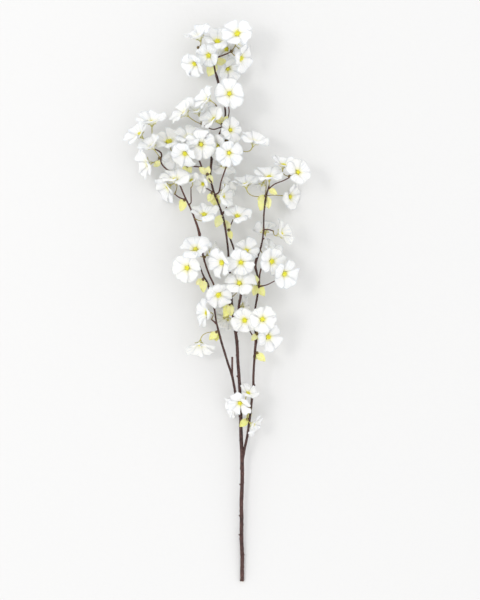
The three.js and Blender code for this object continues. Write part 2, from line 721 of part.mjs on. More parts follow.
// The spurs with their blossoms and leaves as objects. A spur's knob sits on the side of the wood
// that its stalks leave from, or on the end of a twig. One stalk or leaf alone needs no knob. Each
// blossom is turned on from the one before by the golden angle, so no two look alike.
function readSpurs() {
  let blossomCount = 0;
  let leafCount = 0;
  return SPURS.map(({ limb, at, blossoms, leaves }) => {
    const { point, radius, along, isTip } = onLimb(limb, ...at);
    const aim = vec(0, 0, 0);
    for (const [x, y, z] of blossoms) {
      aim.add(vec(x, y, z ?? RESTING_AIM).sub(point).normalize());
    }
    if (!blossoms.length) {
      for (const [toward, rise] of leaves) {
        aim.add(vec(Math.cos(rad(toward)), Math.sin(rad(toward)), Math.sin(rad(rise))));
      }
    }
    aim.addScaledVector(along, -aim.dot(along) * (isTip ? 0 : 1));
    aim.normalize();
    const hasKnob = blossoms.length + leaves.length > 1;
    const knobOff = radius + KNOB_STANDS_OFF * KNOB_RADIUS;
    const root = point.clone().addScaledVector(aim, hasKnob ? knobOff : LONE_STALK_DEPTH * radius);
    return {
      root,
      hasKnob,
      blossoms: blossoms.map(([x, y, z, lean, toward, spread, width]) => {
        const index = blossomCount++;
        const scale = width / FULL_WIDTH;
        return {
          index,
          root,
          scale,
          spread,
          rests: z === null,
          turn: facing(lean, toward, index * GOLDEN_ANGLE),
          middle: vec(x, y, z ?? 0),
          home: vec(x, y, z ?? 0),
        };
      }),
      leaves: leaves.map(([toward, rise, length]) => {
        const index = leafCount++;
        return { index, root, toward, rise, length };
      }),
    };
  });
}

// The throat of a blossom lies half the height of its petals behind their middle.
function placeThroat(blossom) {
  const height = (FULL_WIDTH / 2 - THROAT_RADIUS) * Math.cos(rad(blossom.spread));
  const depth = 0.5 * height * blossom.scale;
  const axis = vec(0, 0, 1).transformDirection(blossom.turn);
  blossom.throat = blossom.middle.clone().addScaledVector(axis, -depth);
}

// A resting blossom is set down so that its lowest petal touches the surface.
function setDown(blossom) {
  placeThroat(blossom);
  const axis = vec(0, 0, 1).transformDirection(blossom.turn);
  const thickness = Math.abs(axis.z) * (PETAL_THICKNESS / 2) * blossom.scale;
  let lowest = Infinity;
  for (let k = 0; k < PETALS; k++) {
    for (const s of PETAL_ROWS) {
      for (const u of [-1, 0, 1]) {
        const p = petalPoint(blossom, k, s, u).applyMatrix4(blossom.turn).add(blossom.throat);
        const isSpine = u === 0 && s < 1;
        lowest = Math.min(lowest, p.z - (isSpine ? thickness : 0));
      }
    }
  }
  blossom.middle.z -= lowest;
  placeThroat(blossom);
}

// The feelers of a blossom: points on its petals, its calyx and its stalk, with a radius each.
function feelers(blossom) {
  const points = [];
  for (let k = 0; k < PETALS; k++) {
    for (const [s, u] of FEELERS.petal) {
      const p = petalPoint(blossom, k, s, u).applyMatrix4(blossom.turn).add(blossom.throat);
      points.push([p, FEELERS.radius, false]);
    }
  }
  points.push([blossom.throat, FEELERS.radius, false]);
  for (const t of FEELERS.stalk) points.push([stalkPoint(blossom, t), FEELERS.stalkRadius, true]);
  return points;
}

// Blossoms that would cross another blossom, a leaf or the wood move apart a little in each step.
function settle(spurs) {
  const blossoms = spurs.flatMap((s) => s.blossoms);
  const fixed = [];
  for (const limb of Object.values(LIMBS)) {
    for (let i = 0; i + 1 < limb.length; i++) {
      const from = vec(...limb[i]);
      const to = vec(...limb[i + 1]);
      const count = Math.ceil(from.distanceTo(to) / FEELERS.woodStep);
      for (let n = 0; n < count; n++) {
        const t = (n + 0.5) / count;
        const radius = THREE.MathUtils.lerp(limb[i][3], limb[i + 1][3], t);
        fixed.push([from.clone().lerp(to, t), radius + FEELERS.woodMargin, null]);
      }
    }
  }
  for (const { leaves, root } of spurs) {
    for (const leaf of leaves) {
      for (const s of LEAF_ROWS) fixed.push([leafPoint(leaf, s, 0), FEELERS.leafRadius, root]);
    }
  }
  for (const b of blossoms) (b.rests ? setDown : placeThroat)(b);
  for (let step = 0; step < SETTLE_STEPS; step++) {
    const all = blossoms.map(feelers);
    const pushes = blossoms.map(() => vec(0, 0, 0));
    const press = (a, p, r, q, m, target, weight) => {
      const gap = p.distanceTo(q);
      if (gap >= r + m) return;
      const away = p.clone().sub(q);
      away.x *= SIDEWAYS_SHARE;
      away.y *= SIDEWAYS_SHARE;
      if (away.length() < 1e-6) away.set(0, 0, a);
      away.normalize().multiplyScalar(weight * SETTLE_SHARE * (r + m - gap));
      target.add(away);
    };
    for (let i = 0; i < blossoms.length; i++) {
      for (let j = i + 1; j < blossoms.length; j++) {
        if (blossoms[i].middle.distanceTo(blossoms[j].middle) > OUT_OF_REACH) continue;
        const kin = blossoms[i].root === blossoms[j].root;
        for (const [p, r, pStalk] of all[i]) {
          for (const [q, m, qStalk] of all[j]) {
            if (kin && pStalk && qStalk) continue;
            press(1, p, r, q, m, pushes[i], 0.5);
            press(-1, q, m, p, r, pushes[j], 0.5);
          }
        }
      }
      for (const [p, r, isStalk] of all[i]) {
        for (const [q, m, root] of fixed) {
          if (isStalk && root === blossoms[i].root) continue;
          if (isStalk && p.distanceTo(blossoms[i].root) < STALK_FREE) continue;
          press(1, p, r, q, m, pushes[i], 1);
        }
      }
    }
    blossoms.forEach((b, i) => {
      const move = pushes[i];
      if (move.length() > MOST_A_STEP) move.setLength(MOST_A_STEP);
      b.middle.add(move);
      const side = vec(b.middle.x - b.home.x, b.middle.y - b.home.y, 0);
      if (side.length() > MOST_SIDEWAYS) {
        side.setLength(MOST_SIDEWAYS);
        b.middle.set(b.home.x + side.x, b.home.y + side.y, b.middle.z);
      }
      if (b.rests) {
        setDown(b);
      } else {
        placeThroat(b);
        const low = Math.min(...feelers(b).map(([p]) => p.z)) - LOWEST;
        if (low < 0) b.middle.z -= low;
        placeThroat(b);
      }
    });
  }
}

// ---------------------------------------------------------------------------------------------
// The spray

const bark = new THREE.MeshStandardMaterial({ color: 0x4e3632, roughness: 0.85, metalness: 0 });
const petal = new THREE.MeshStandardMaterial({ color: 0xf4f4f0, roughness: 0.7, metalness: 0 });
const leafGreen = new THREE.MeshStandardMaterial({ color: 0xd3d089, roughness: 0.7, metalness: 0 });

const spray = new THREE.Group();
spray.name = "peach_blossom_spray";
spray.add(meshOf("branch", wood(0), bark));

const thickWood = wood(CLEARANCE);
const spurs = readSpurs();
settle(spurs);

let blossomNodes = 0;
let leafNodes = 0;
for (const spur of spurs) {
  const pieces = spur.hasKnob ? [ball(spur.root, KNOB_RADIUS)] : [];
  for (const b of spur.blossoms) pieces.push(corolla(b), stalk(b));
  for (const leaf of spur.leaves) pieces.push(leafBlade(leaf));
  const grown = join(pieces).subtract(thickWood);
  const count = (n) => String(n).padStart(2, "0");
  if (spur.blossoms.length) {
    spray.add(meshOf("blossoms_" + count(++blossomNodes), grown, petal));
  } else {
    spray.add(meshOf("leaves_" + count(++leafNodes), grown, leafGreen));
  }
}

export default spray;
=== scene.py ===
import bpy
import numpy as np
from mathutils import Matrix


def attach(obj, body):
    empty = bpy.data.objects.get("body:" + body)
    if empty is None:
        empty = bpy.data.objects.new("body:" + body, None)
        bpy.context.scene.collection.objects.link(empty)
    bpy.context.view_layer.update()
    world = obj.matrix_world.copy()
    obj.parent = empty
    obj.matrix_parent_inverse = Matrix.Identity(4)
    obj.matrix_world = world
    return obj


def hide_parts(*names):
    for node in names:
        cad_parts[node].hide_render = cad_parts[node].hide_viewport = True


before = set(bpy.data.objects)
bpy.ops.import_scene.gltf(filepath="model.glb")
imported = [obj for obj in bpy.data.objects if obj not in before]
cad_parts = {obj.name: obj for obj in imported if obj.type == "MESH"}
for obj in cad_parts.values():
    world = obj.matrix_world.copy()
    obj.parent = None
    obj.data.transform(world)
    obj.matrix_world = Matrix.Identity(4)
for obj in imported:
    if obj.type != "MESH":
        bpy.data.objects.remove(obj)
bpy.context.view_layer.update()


# ---- The view ------------------------------------------------------------------------------------
# The spray lies on a pale plastered board and is seen from straight above through a long lens,
# with its tip at the top of the picture and its cut end at the bottom.

MM = 0.001
VIEW_HEIGHT = 4000 * MM
VIEW_CENTRE = (34.5 * MM, 1.5 * MM)
LONG_SIDE = 960 * MM  # what the long side of the picture takes in, at the height of the flowers
FLOWER_HEIGHT = 55 * MM
SENSOR = 36.0

camera_data = bpy.data.cameras.new("overhead_camera")
camera_data.sensor_width = SENSOR
camera_data.lens = SENSOR * (VIEW_HEIGHT - FLOWER_HEIGHT) / LONG_SIDE
camera_data.clip_end = 50.0
camera = bpy.data.objects.new("overhead_camera", camera_data)
camera.location = (*VIEW_CENTRE, VIEW_HEIGHT)
bpy.context.scene.collection.objects.link(camera)
bpy.context.scene.camera = camera
bpy.context.scene.view_settings.view_transform = "Standard"


# ---- The light -----------------------------------------------------------------------------------
# One broad soft lamp stands to the upper left, and even light comes from the pale room, so that
# the shadows fall softly to the lower right and stay light.

LAMP_PLACE = np.array([-2.3, 0.7, 4.2])
LAMP_SIZE = 1.3
LAMP_WATTS = 31.0
ROOM_STRENGTH = 1.06


def linear(code):
    """The linear colour of an sRGB hex code: a channel up to 0.04045 is divided by 12.92, and one
    above it is raised to the power 2.4 after adding 0.055 and dividing by 1.055."""
    channels = np.array([int(code[i:i + 2], 16) for i in (1, 3, 5)]) / 255
    bright = ((channels + 0.055) / 1.055) ** 2.4
    return (*np.where(channels > 0.04045, bright, channels / 12.92), 1.0)


lamp_data = bpy.data.lights.new("window_lamp", "AREA")
lamp_data.shape = "DISK"
lamp_data.size = LAMP_SIZE
lamp_data.energy = LAMP_WATTS
lamp_data.color = linear("#FFFDFA")[:3]
lamp = bpy.data.objects.new("window_lamp", lamp_data)
lamp.location = LAMP_PLACE
lamp.rotation_euler = (  # it faces the middle of the board
    np.arctan2(np.hypot(LAMP_PLACE[0], LAMP_PLACE[1]), LAMP_PLACE[2]),
    0.0,
    np.arctan2(LAMP_PLACE[0], -LAMP_PLACE[1]),
)
bpy.context.scene.collection.objects.link(lamp)

room = bpy.data.worlds.new("pale_room")
room.use_nodes = True
room.node_tree.nodes["Background"].inputs["Color"].default_value = linear("#FFFFFF")
room.node_tree.nodes["Background"].inputs["Strength"].default_value = ROOM_STRENGTH
bpy.context.scene.world = room


# ---- The board -----------------------------------------------------------------------------------
# What the spray lies on: a white board skimmed with gypsum plaster and painted with a roller,
# which leaves a faint orange peel in flat paint.

BOARD_SIDE = 8.0
PEEL_MM = 7.0  # from one bump of the orange peel to the next
PEEL_DEPTH_MM = 0.25


def new_material(name, inputs):
    """A node material with only a Principled shader, whose sockets are set to `inputs`, and its
    output: returns it, its tree and its shader."""
    material = bpy.data.materials.new(name)
    material.use_nodes = True
    shader = material.node_tree.nodes["Principled BSDF"]
    for socket, value in inputs.items():
        shader.inputs[socket].default_value = value
    return material, material.node_tree, shader


def add_node(tree, kind, inputs=(), feeds=(), **settings):
    """Adds a node of a kind with its settings. An input is a value, or a (node, output) pair that
    is linked to it. A feed is an (output, node, input) that the new node is linked to."""
    node = tree.nodes.new(kind)
    for name, value in settings.items():
        setattr(node, name, value)
    for socket, value in dict(inputs).items():
        if isinstance(value, tuple) and isinstance(value[0], bpy.types.Node):
            tree.links.new(value[0].outputs[value[1]], node.inputs[socket])
        else:
            node.inputs[socket].default_value = value
    for output, target, socket in feeds:
        tree.links.new(node.outputs[output], target.inputs[socket])
    return node


# Flat wall paint: matt and even, with only the roller's peel to catch the light.
plaster, tree, shader = new_material("rolled_flat_paint", {
    "Base Color": linear("#E9E9E9"),
    "Roughness": 0.9,
    "Specular IOR Level": 0.2,
})
place = add_node(tree, "ShaderNodeTexCoord")
peel = add_node(tree, "ShaderNodeTexNoise",
                {"Vector": (place, "Object"), "Scale": 1 / (PEEL_MM * MM), "Detail": 3.0})
add_node(tree, "ShaderNodeBump", {"Height": (peel, 0), "Distance": PEEL_DEPTH_MM * MM},
         [(0, shader, "Normal")])

half = BOARD_SIDE / 2
board_mesh = bpy.data.meshes.new("painted_board")
board_mesh.from_pydata([(-half, -half, 0), (half, -half, 0), (half, half, 0), (-half, half, 0)], [],
                       [(0, 1, 2, 3)])
board_mesh.materials.append(plaster)
board = bpy.data.objects.new("painted_board", board_mesh)
bpy.context.scene.collection.objects.link(board)


# ---- The branch ----------------------------------------------------------------------------------
# One woody stem with its forks and twigs: thin red-brown bark over pale wood, knobbly where leaves
# and buds once sat, cut across at the foot. A fork swells a little where it leaves its stem.

# Each limb is the line it runs along, root first: (x, y, z, radius), in millimetres.
LIMBS = {
    "leader": [
        (38, -454, 2.6, 3.2), (38, -418, 5, 3.1), (37, -382, 8, 3.1), (37, -350, 10.5, 3),
        (37, -318, 13, 3.1), (38, -290, 15.5, 3), (38, -262, 18, 3.2), (36, -206, 23, 2.9),
        (35, -158, 28, 2.7), (31, -94, 34, 2.5), (29, -62, 37, 2.6), (24, -30, 40, 2.1), (21, 2, 42, 2.1),
        (19, 37, 44, 1.7), (16, 74, 45, 1.6), (13, 102, 46, 1.6), (8, 131, 47, 1.8), (0, 155, 47, 1.6),
        (-8, 176, 47, 1.7), (-13, 200, 48, 1.6), (-11, 226, 48, 2.2), (-9, 243, 47, 2.1),
        (-2, 261, 46, 1.5), (6, 278, 46, 1.5), (11, 299, 46, 1.5), (8, 322, 45, 1.5), (2, 341, 45, 2),
        (-2, 357, 46, 2.1), (-6, 371, 47, 1.3), (-8, 389, 48, 1.1), (-6, 404, 50, 0.9),
    ],
    "right": [
        (38, -261, 18, 2), (42, -238, 22, 2.1), (47, -213, 27, 2), (51, -182, 32, 1.9),
        (54, -155, 35, 1.9), (56, -139, 37, 1.9), (56, -120, 39, 1.9), (58, -88, 43, 1.9),
        (60, -62, 45, 2.3), (59, -43, 47, 1.8), (57, -26, 48, 1.6), (60, -5, 51, 1.6), (65, 27, 54, 1.7),
        (62, 42, 55, 1.6), (59, 56, 56, 2.2), (62, 70, 57, 2), (69, 90, 57, 1.4), (72, 114, 57, 1.3),
        (73, 142, 55, 1.3), (76, 166, 53, 1.4), (81, 184, 53, 1.1),
    ],
    "middle": [
        (28, -51, 37.5, 1.9), (31, -29, 42, 2), (33, -6, 45, 1.9), (36, 11, 46, 2.1), (35, 37, 45, 1.3),
        (31, 64, 41, 1.3), (24, 85, 39, 1.4), (18, 104, 38, 1.3), (18, 117, 39, 1), (23, 130, 42, 0.9),
    ],
    "left": [
        (35, -187, 25, 1.9), (31, -166, 29, 2), (27, -147, 33, 2), (22, -122, 37, 2), (13, -93, 42, 1.8),
        (5, -67, 44, 1.8), (0, -48, 46, 1.7), (-4, -30, 48, 1.4), (-7, -11, 50, 1.5), (-12, 6, 52, 1.9),
        (-17, 27, 52, 1.8), (-24, 40, 52, 1.3), (-30, 56, 53, 1),
    ],
    "far_left": [
        (-7, -13, 50, 1.3), (-3, 3, 46, 1.4), (-7, 24, 43, 1.4), (-15, 42, 41, 1.4), (-21, 59, 41, 1.5),
        (-27, 83, 41, 1.7), (-30, 104, 41, 2.3), (-34, 120, 41, 1.9), (-43, 144, 42, 1.4),
        (-53, 165, 44, 1.3), (-62, 186, 46, 1.2), (-69, 203, 47, 1.1), (-82, 210, 47, 1.2),
        (-92, 222, 47, 1.2), (-92, 237, 49, 1.2), (-108, 246, 50, 1),
    ],
    "left_fork": [
        (-3, -37, 47, 1.3), (-6, -34, 48, 1.2), (-11, -30, 50, 1),
    ],
    "stub": [
        (22, -122, 37, 1.4), (22, -106, 39, 1.5), (22, -90, 41, 1.6),
    ],
    "knee": [
        (6, 139, 47, 1.4), (10, 144, 49, 1.6), (14, 150, 51, 1.8),
    ],
    "arch": [
        (-6, 170, 47, 1.1), (1, 175, 53, 1.2), (4, 190, 58, 1.1), (11, 210, 61, 1.1), (20, 232, 60, 1.1),
        (21, 246, 58, 1.2), (14, 257, 57, 1.8), (7, 272, 57, 1.3), (4, 290, 58, 1.2), (2, 301, 59, 1.6),
        (-4, 313, 60, 1),
    ],
    "high": [
        (7, 282, 46, 1), (13, 288, 52, 1), (17, 301, 58, 1), (16, 312, 62, 0.9),
    ],
    "upper_left": [
        (-12, 190, 47.5, 1.4), (-18, 200, 51, 1.6), (-26, 213, 54, 1.3), (-32, 227, 56, 1.5),
        (-40, 234, 58, 1),
    ],
    "cross": [
        (-26, 214, 54.3, 1), (-42, 216, 52, 1.1), (-55, 221, 51, 1.2), (-65, 229, 52, 1.1),
    ],
    "twig_a": [
        (-8, 174, 47, 0.9), (-15, 178, 48, 0.9), (-21, 182, 50, 0.9),
    ],
    "twig_b": [
        (-48, 154, 43, 0.9), (-44, 158, 47, 0.9), (-44, 170, 51, 0.9), (-44, 181, 54, 0.8),
    ],
    "twig_c": [
        (-52, 162, 44, 1), (-63, 166, 47, 1), (-70, 171, 49, 0.9),
    ],
    "top_right": [
        (-8, 386, 48, 1), (-2, 390, 50, 1.1), (9, 394, 53, 1.2), (19, 398, 55, 0.9),
    ],
    "top_left": [
        (-8, 392, 48.5, 1), (-12, 401, 50, 1.1), (-21, 406, 52, 1), (-33, 406, 54, 0.9),
    ],
    "right_out": [
        (80, 179, 53, 1), (90, 187, 55, 0.9), (103, 192, 57, 0.9), (113, 197, 58, 0.9),
    ],
    "right_mid": [
        (72, 114, 57, 0.9), (80, 114, 60, 0.9), (87, 112, 62, 0.9),
    ],
    "right_in": [
        (65, 29, 54, 1.3), (66, 42, 58, 1.3), (69, 53, 61, 1.2), (73, 61, 64, 1),
    ],
    "west": [
        (5, 278, 57, 0.9), (-9, 275, 50, 0.9), (-25, 282, 46, 0.9),
    ],
    "right_low": [
        (65, 23, 54, 1), (78, 26, 59, 0.9), (90, 32, 62, 0.9),
    ],
    "low_right": [
        (60, -62, 45, 1.1), (55, -56, 48, 1.1), (50, -48, 50, 0.9),
    ],
}

# Old buds on the wood: limb, x, y, and the compass direction that they stand out in.
NUBS = [
    ("leader", 37, -298, 180), ("leader", 37, -349, 180), ("leader", 37, -379, 200),
    ("right", 46, -221, 40), ("right", 56, -138, 35), ("leader", 37, -414, 20), ("leader", 33, -123, 170),
    ("right", 70, 98, 20), ("far_left", -29, 93, 180),
]

RING_STEP = 1.7  # from one ring of the surface to the next
RING_SIDES = 16
TWIG_RADIUS = 1.45  # wood thinner than this at its root counts as a young twig
KNOT_SPACING = 23.0  # from one swelling to the next
KNOT_SHARE = 0.055  # of that spacing, taken up by half a swelling
KNOT_SWELL = 0.16  # share of the radius
BARK_RELIEF = 0.04
FORK_SWELL = 0.45
FORK_REACH = 4.0
CUT_DEPTH = 0.35  # how far the pale wood stands proud of the bark at the cut
LEAST_HEIGHT = 0.1  # what reaches the board is pressed flat on it
BUD_LENGTH = 4.2
BUD_RADIUS = 1.55
BUD_ROWS = np.array([0.0, 0.12, 0.35, 0.62, 0.85, 0.97])
BUD_GIRTH = np.array([0.55, 0.85, 1.0, 0.85, 0.45, 0.12])
UP = np.array([0.0, 0.0, 1.0])


def unit(v):
    """Vectors at length 1."""
    return v / np.maximum(np.linalg.norm(v, axis=-1, keepdims=True), 1e-12)


class Gathering:
    """Closed surfaces gathered into one mesh, with a value per vertex for the material to read."""

    def __init__(self):
        self.points, self.corners, self.sizes, self.values, self.count = [], [], [], {}, 0

    def add(self, points, faces, rim=0.0, **values):
        """Adds vertices (..., 3), faces (triangles and quads, counted from 0) and their values."""
        points = points.reshape(-1, 3)
        values["rim"] = rim
        self.points.append(points)
        for few in faces:
            self.corners.append((few + self.count).ravel())
            self.sizes.append(np.full(len(few), few.shape[1]))
        for name, value in values.items():
            self.values.setdefault(name, []).append(np.broadcast_to(np.ravel(value), len(points)))
        self.count += len(points)

    def make(self, name, material, body, nodes):
        """The finished piece, in metres: smooth, but sharp along the rims (value rim = 1)."""
        corners, sizes = np.concatenate(self.corners), np.concatenate(self.sizes)
        mesh = bpy.data.meshes.new(name)
        mesh.vertices.add(self.count)
        mesh.vertices.foreach_set("co", np.concatenate(self.points).ravel() * MM)
        mesh.loops.add(len(corners))
        mesh.loops.foreach_set("vertex_index", corners)
        mesh.polygons.add(len(sizes))
        mesh.polygons.foreach_set("loop_start", np.concatenate([[0], np.cumsum(sizes)[:-1]]))
        mesh.update(calc_edges=True)
        mesh.shade_smooth()
        for key, parts in self.values.items():
            mesh.attributes.new(key, "FLOAT", "POINT").data.foreach_set("value", np.concatenate(parts))
        ends = np.empty(2 * len(mesh.edges), np.int32)
        mesh.edges.foreach_get("vertices", ends)
        sharp = (np.concatenate(self.values["rim"]) == 1)[ends.reshape(-1, 2)].all(axis=1)
        mesh.attributes.new("sharp_edge", "BOOLEAN", "EDGE").data.foreach_set("value", sharp)
        mesh.materials.append(material)
        piece = bpy.data.objects.new(name, mesh)
        bpy.context.scene.collection.objects.link(piece)
        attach(piece, body)
        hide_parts(*nodes)
        return piece


def run_through(knots, step):
    """A Catmull-Rom curve through the knots (x, y, z, radius), with a point about every `step`."""
    knots = np.asarray(knots, float)
    ends = np.vstack([2 * knots[0] - knots[1], knots, 2 * knots[-1] - knots[-2]])
    lengths = np.linalg.norm(np.diff(knots[:, :3], axis=0), axis=1)
    counts = np.maximum(2, np.rint(lengths / step)).astype(int)
    span = np.repeat(np.arange(len(counts)), counts)
    t = (np.arange(counts.sum()) - np.repeat(np.cumsum(counts) - counts, counts)) / counts[span]
    a, b, c, d = (ends[span + k] for k in range(4))
    t = t[:, None]
    curve = 0.5 * (2 * b + (c - a) * t + (2 * a - 5 * b + 4 * c - d) * t**2
                   + (3 * b - a - 3 * c + d) * t**3)
    return np.vstack([curve, knots[-1:]])


def tubes(lines, radii, sides, binormal):
    """Closed tubes, one round each line of `lines` (m, rows, 3). A ring's point is the line's point
    plus radius times (side cos a + other sin a), where other is the binormal made square to the
    line, and a point at each end closes it. `radii` is (m, rows) or (m, rows, sides). Returns the
    vertices (m, rows * sides + 2, 3) and the faces."""
    m, rows, _ = lines.shape
    along = unit(np.gradient(lines, axis=1))
    other = unit(binormal - along * (along * binormal).sum(-1, keepdims=True))
    side = np.cross(other, along)
    a = 2 * np.pi * np.arange(sides) / sides
    around = side[:, :, None] * np.cos(a)[:, None] + other[:, :, None] * np.sin(a)[:, None]
    radii = np.broadcast_to(radii if np.ndim(radii) == 3 else radii[..., None], (m, rows, sides))
    rings = lines[:, :, None] + radii[..., None] * around
    points = np.concatenate([rings.reshape(m, -1, 3), lines[:, :1], lines[:, -1:]], axis=1)
    k = np.arange(sides)
    after = (k + 1) % sides
    row = np.arange(rows - 1)[:, None] * sides
    quads = np.stack([row + k, row + after, row + sides + after, row + sides + k], -1).reshape(-1, 4)
    foot, tip, last = rows * sides, rows * sides + 1, (rows - 1) * sides
    caps = np.concatenate([np.stack([np.full(sides, foot), after, k], -1),
                           np.stack([np.full(sides, tip), last + k, last + after], -1)])
    start = np.arange(m)[:, None, None] * points.shape[1]
    return points, [(quads + start).reshape(-1, 4), (caps + start).reshape(-1, 3)]


def on_limb(name, x, y):
    """The place on a limb nearest to (x, y) in plan: its point, radius and direction, and whether
    it is the limb's tip. The limb is taken as straight runs between its knots."""
    limb = np.array(LIMBS[name], float)
    start, run = limb[:-1], np.diff(limb, axis=0)
    t = ((x - start[:, 0]) * run[:, 0] + (y - start[:, 1]) * run[:, 1]) / (run[:, 0]**2 + run[:, 1]**2)
    t = np.clip(t, 0, 1)
    spots = start + run * t[:, None]
    i = int(np.argmin(np.hypot(spots[:, 0] - x, spots[:, 1] - y)))
    return spots[i, :3], spots[i, 3], unit(run[i, :3]), i == len(run) - 1 and t[i] == 1


def compass(direction, rise=0.0):
    """The unit vector that points in a compass direction and rises from level, in degrees."""
    toward, up = np.radians(direction), np.radians(rise)
    return np.stack([np.cos(toward) * np.cos(up), np.sin(toward) * np.cos(up), np.sin(up)], -1)


def bark_relief(gone, number):
    """What a limb's radius is multiplied by, at each distance from its root and all round: 1, plus a
    bell-shaped swelling at each knot, fullest on a side that turns from knot to knot, plus three
    waves that wind round as low ridges, plus a swelling that dies away from the fork."""
    around = 2 * np.pi * np.arange(RING_SIDES) / RING_SIDES
    gone = gone[:, None]
    knot = gone / KNOT_SPACING + 0.37 * number
    swell = np.exp(-((knot - np.rint(knot)) / KNOT_SHARE) ** 2)
    bulge = 0.6 + np.cos(around - 2.4 * np.rint(knot))
    ridges = (np.sin(3 * around + gone / 9 + number) + 0.7 * np.sin(5 * around - gone / 5.3)
              + 0.8 * np.sin(gone / 2.1 + 2 * around + 2 * np.sin(gone / 7)))
    fork = FORK_SWELL * np.exp(-gone / FORK_REACH) * (number > 0)
    return 1 + KNOT_SWELL * swell * bulge + BARK_RELIEF * ridges + fork


branch = Gathering()
for number, knots in enumerate(LIMBS.values()):
    line = run_through(knots, RING_STEP)
    line, radius = line[:, :3], line[:, 3]
    gone = np.concatenate([[0], np.cumsum(np.linalg.norm(np.diff(line, axis=0), axis=1))])
    radii = radius[:, None] * bark_relief(gone, number)
    points, faces = tubes(line[None], radii[None], RING_SIDES, UP)
    points[..., 2] = np.maximum(points[..., 2], LEAST_HEIGHT)
    branch.add(points, faces, cut=0.0, young=float(radius[0] < TWIG_RADIUS))

foot, heading = np.array(LIMBS["leader"][0]), unit(np.diff(LIMBS["leader"][:2], axis=0)[0, :3])
disc = foot[:3] - heading * np.array([CUT_DEPTH, CUT_DEPTH, -1.0])[:, None]
points, faces = tubes(disc[None], foot[3] * np.array([[0.1, 0.9, 0.9]]), RING_SIDES, UP)
points[..., 2] = np.maximum(points[..., 2], 2 * LEAST_HEIGHT)
branch.add(points, faces, cut=1.0, young=0.0)

for limb, x, y, direction in NUBS:
    point, radius, along, _ = on_limb(limb, x, y)
    out = unit(compass(direction) + 0.4 * UP + 0.5 * along)
    line = point + out * (radius * 0.5 + BUD_LENGTH * BUD_ROWS)[:, None]
    points, faces = tubes(line[None], BUD_RADIUS * BUD_GIRTH[None], 8, unit(np.cross(out, along)))
    branch.add(points, faces, cut=0.0, young=0.6)

# Peach bark: thin, smooth and purple-brown, faintly glossy, flecked with short pale pores that
# run across the limb, and redder on the young twigs. The cut shows bare pale wood.
MOTTLE_MM = 9.0
PORE_MM = 1.9
GRAIN_MM = 1.3
bark, tree, shader = new_material("peach_bark", {
    "Roughness": 0.62,
    "IOR": 1.5,
    "Specular IOR Level": 0.35,
})
place = add_node(tree, "ShaderNodeTexCoord")
mottle = add_node(tree, "ShaderNodeTexNoise", {
    "Vector": (place, "Object"), "Scale": 1 / (MOTTLE_MM * MM), "Detail": 4.0, "Roughness": 0.6,
})
skin = add_node(tree, "ShaderNodeValToRGB", {"Fac": (mottle, 0)})
skin.color_ramp.elements[0].position = 0.3
skin.color_ramp.elements[0].color = linear("#2E1C1B")
skin.color_ramp.elements[1].position = 0.72
skin.color_ramp.elements[1].color = linear("#5E413D")
across = add_node(tree, "ShaderNodeMapping", {"Vector": (place, "Object"), "Scale": (0.4, 1.5, 0.4)})
pores = add_node(tree, "ShaderNodeTexVoronoi",
                 {"Vector": (across, 0), "Scale": 1 / (PORE_MM * MM), "Randomness": 1.0})
fleck = add_node(tree, "ShaderNodeMapRange", {
    "Value": (pores, "Distance"), "From Min": 0.12, "From Max": 0.3, "To Min": 0.75, "To Max": 0.0,
})
flecked = add_node(tree, "ShaderNodeMix", {0: (fleck, 0), 6: (skin, 0), 7: linear("#8A6C60")},
                   data_type="RGBA")
young = add_node(tree, "ShaderNodeAttribute", attribute_name="young")
reddened = add_node(tree, "ShaderNodeMix", {0: (young, "Fac"), 6: (flecked, 2), 7: linear("#5A3A35")},
                    data_type="RGBA")
cut = add_node(tree, "ShaderNodeAttribute", attribute_name="cut")
add_node(tree, "ShaderNodeMix", {0: (cut, "Fac"), 6: (reddened, 2), 7: linear("#C9B28E")},
         [(2, shader, "Base Color")], data_type="RGBA")
grain = add_node(tree, "ShaderNodeTexNoise",
                 {"Vector": (across, 0), "Scale": 1 / (GRAIN_MM * MM), "Detail": 3.0})
add_node(tree, "ShaderNodeBump", {"Height": (grain, 0), "Strength": 0.6, "Distance": 0.35 * MM},
         [(0, shader, "Normal")])
branch.make("branch_bark", bark, "root", ["branch"])


# ---- Where the flowers and leaves sit ------------------------------------------------------------
# Spurs are short knobs of bud scales on the wood, and stalks and leaves grow out of them. Flowers
# that would cross lie apart as real ones do, each giving way to its neighbours a little.

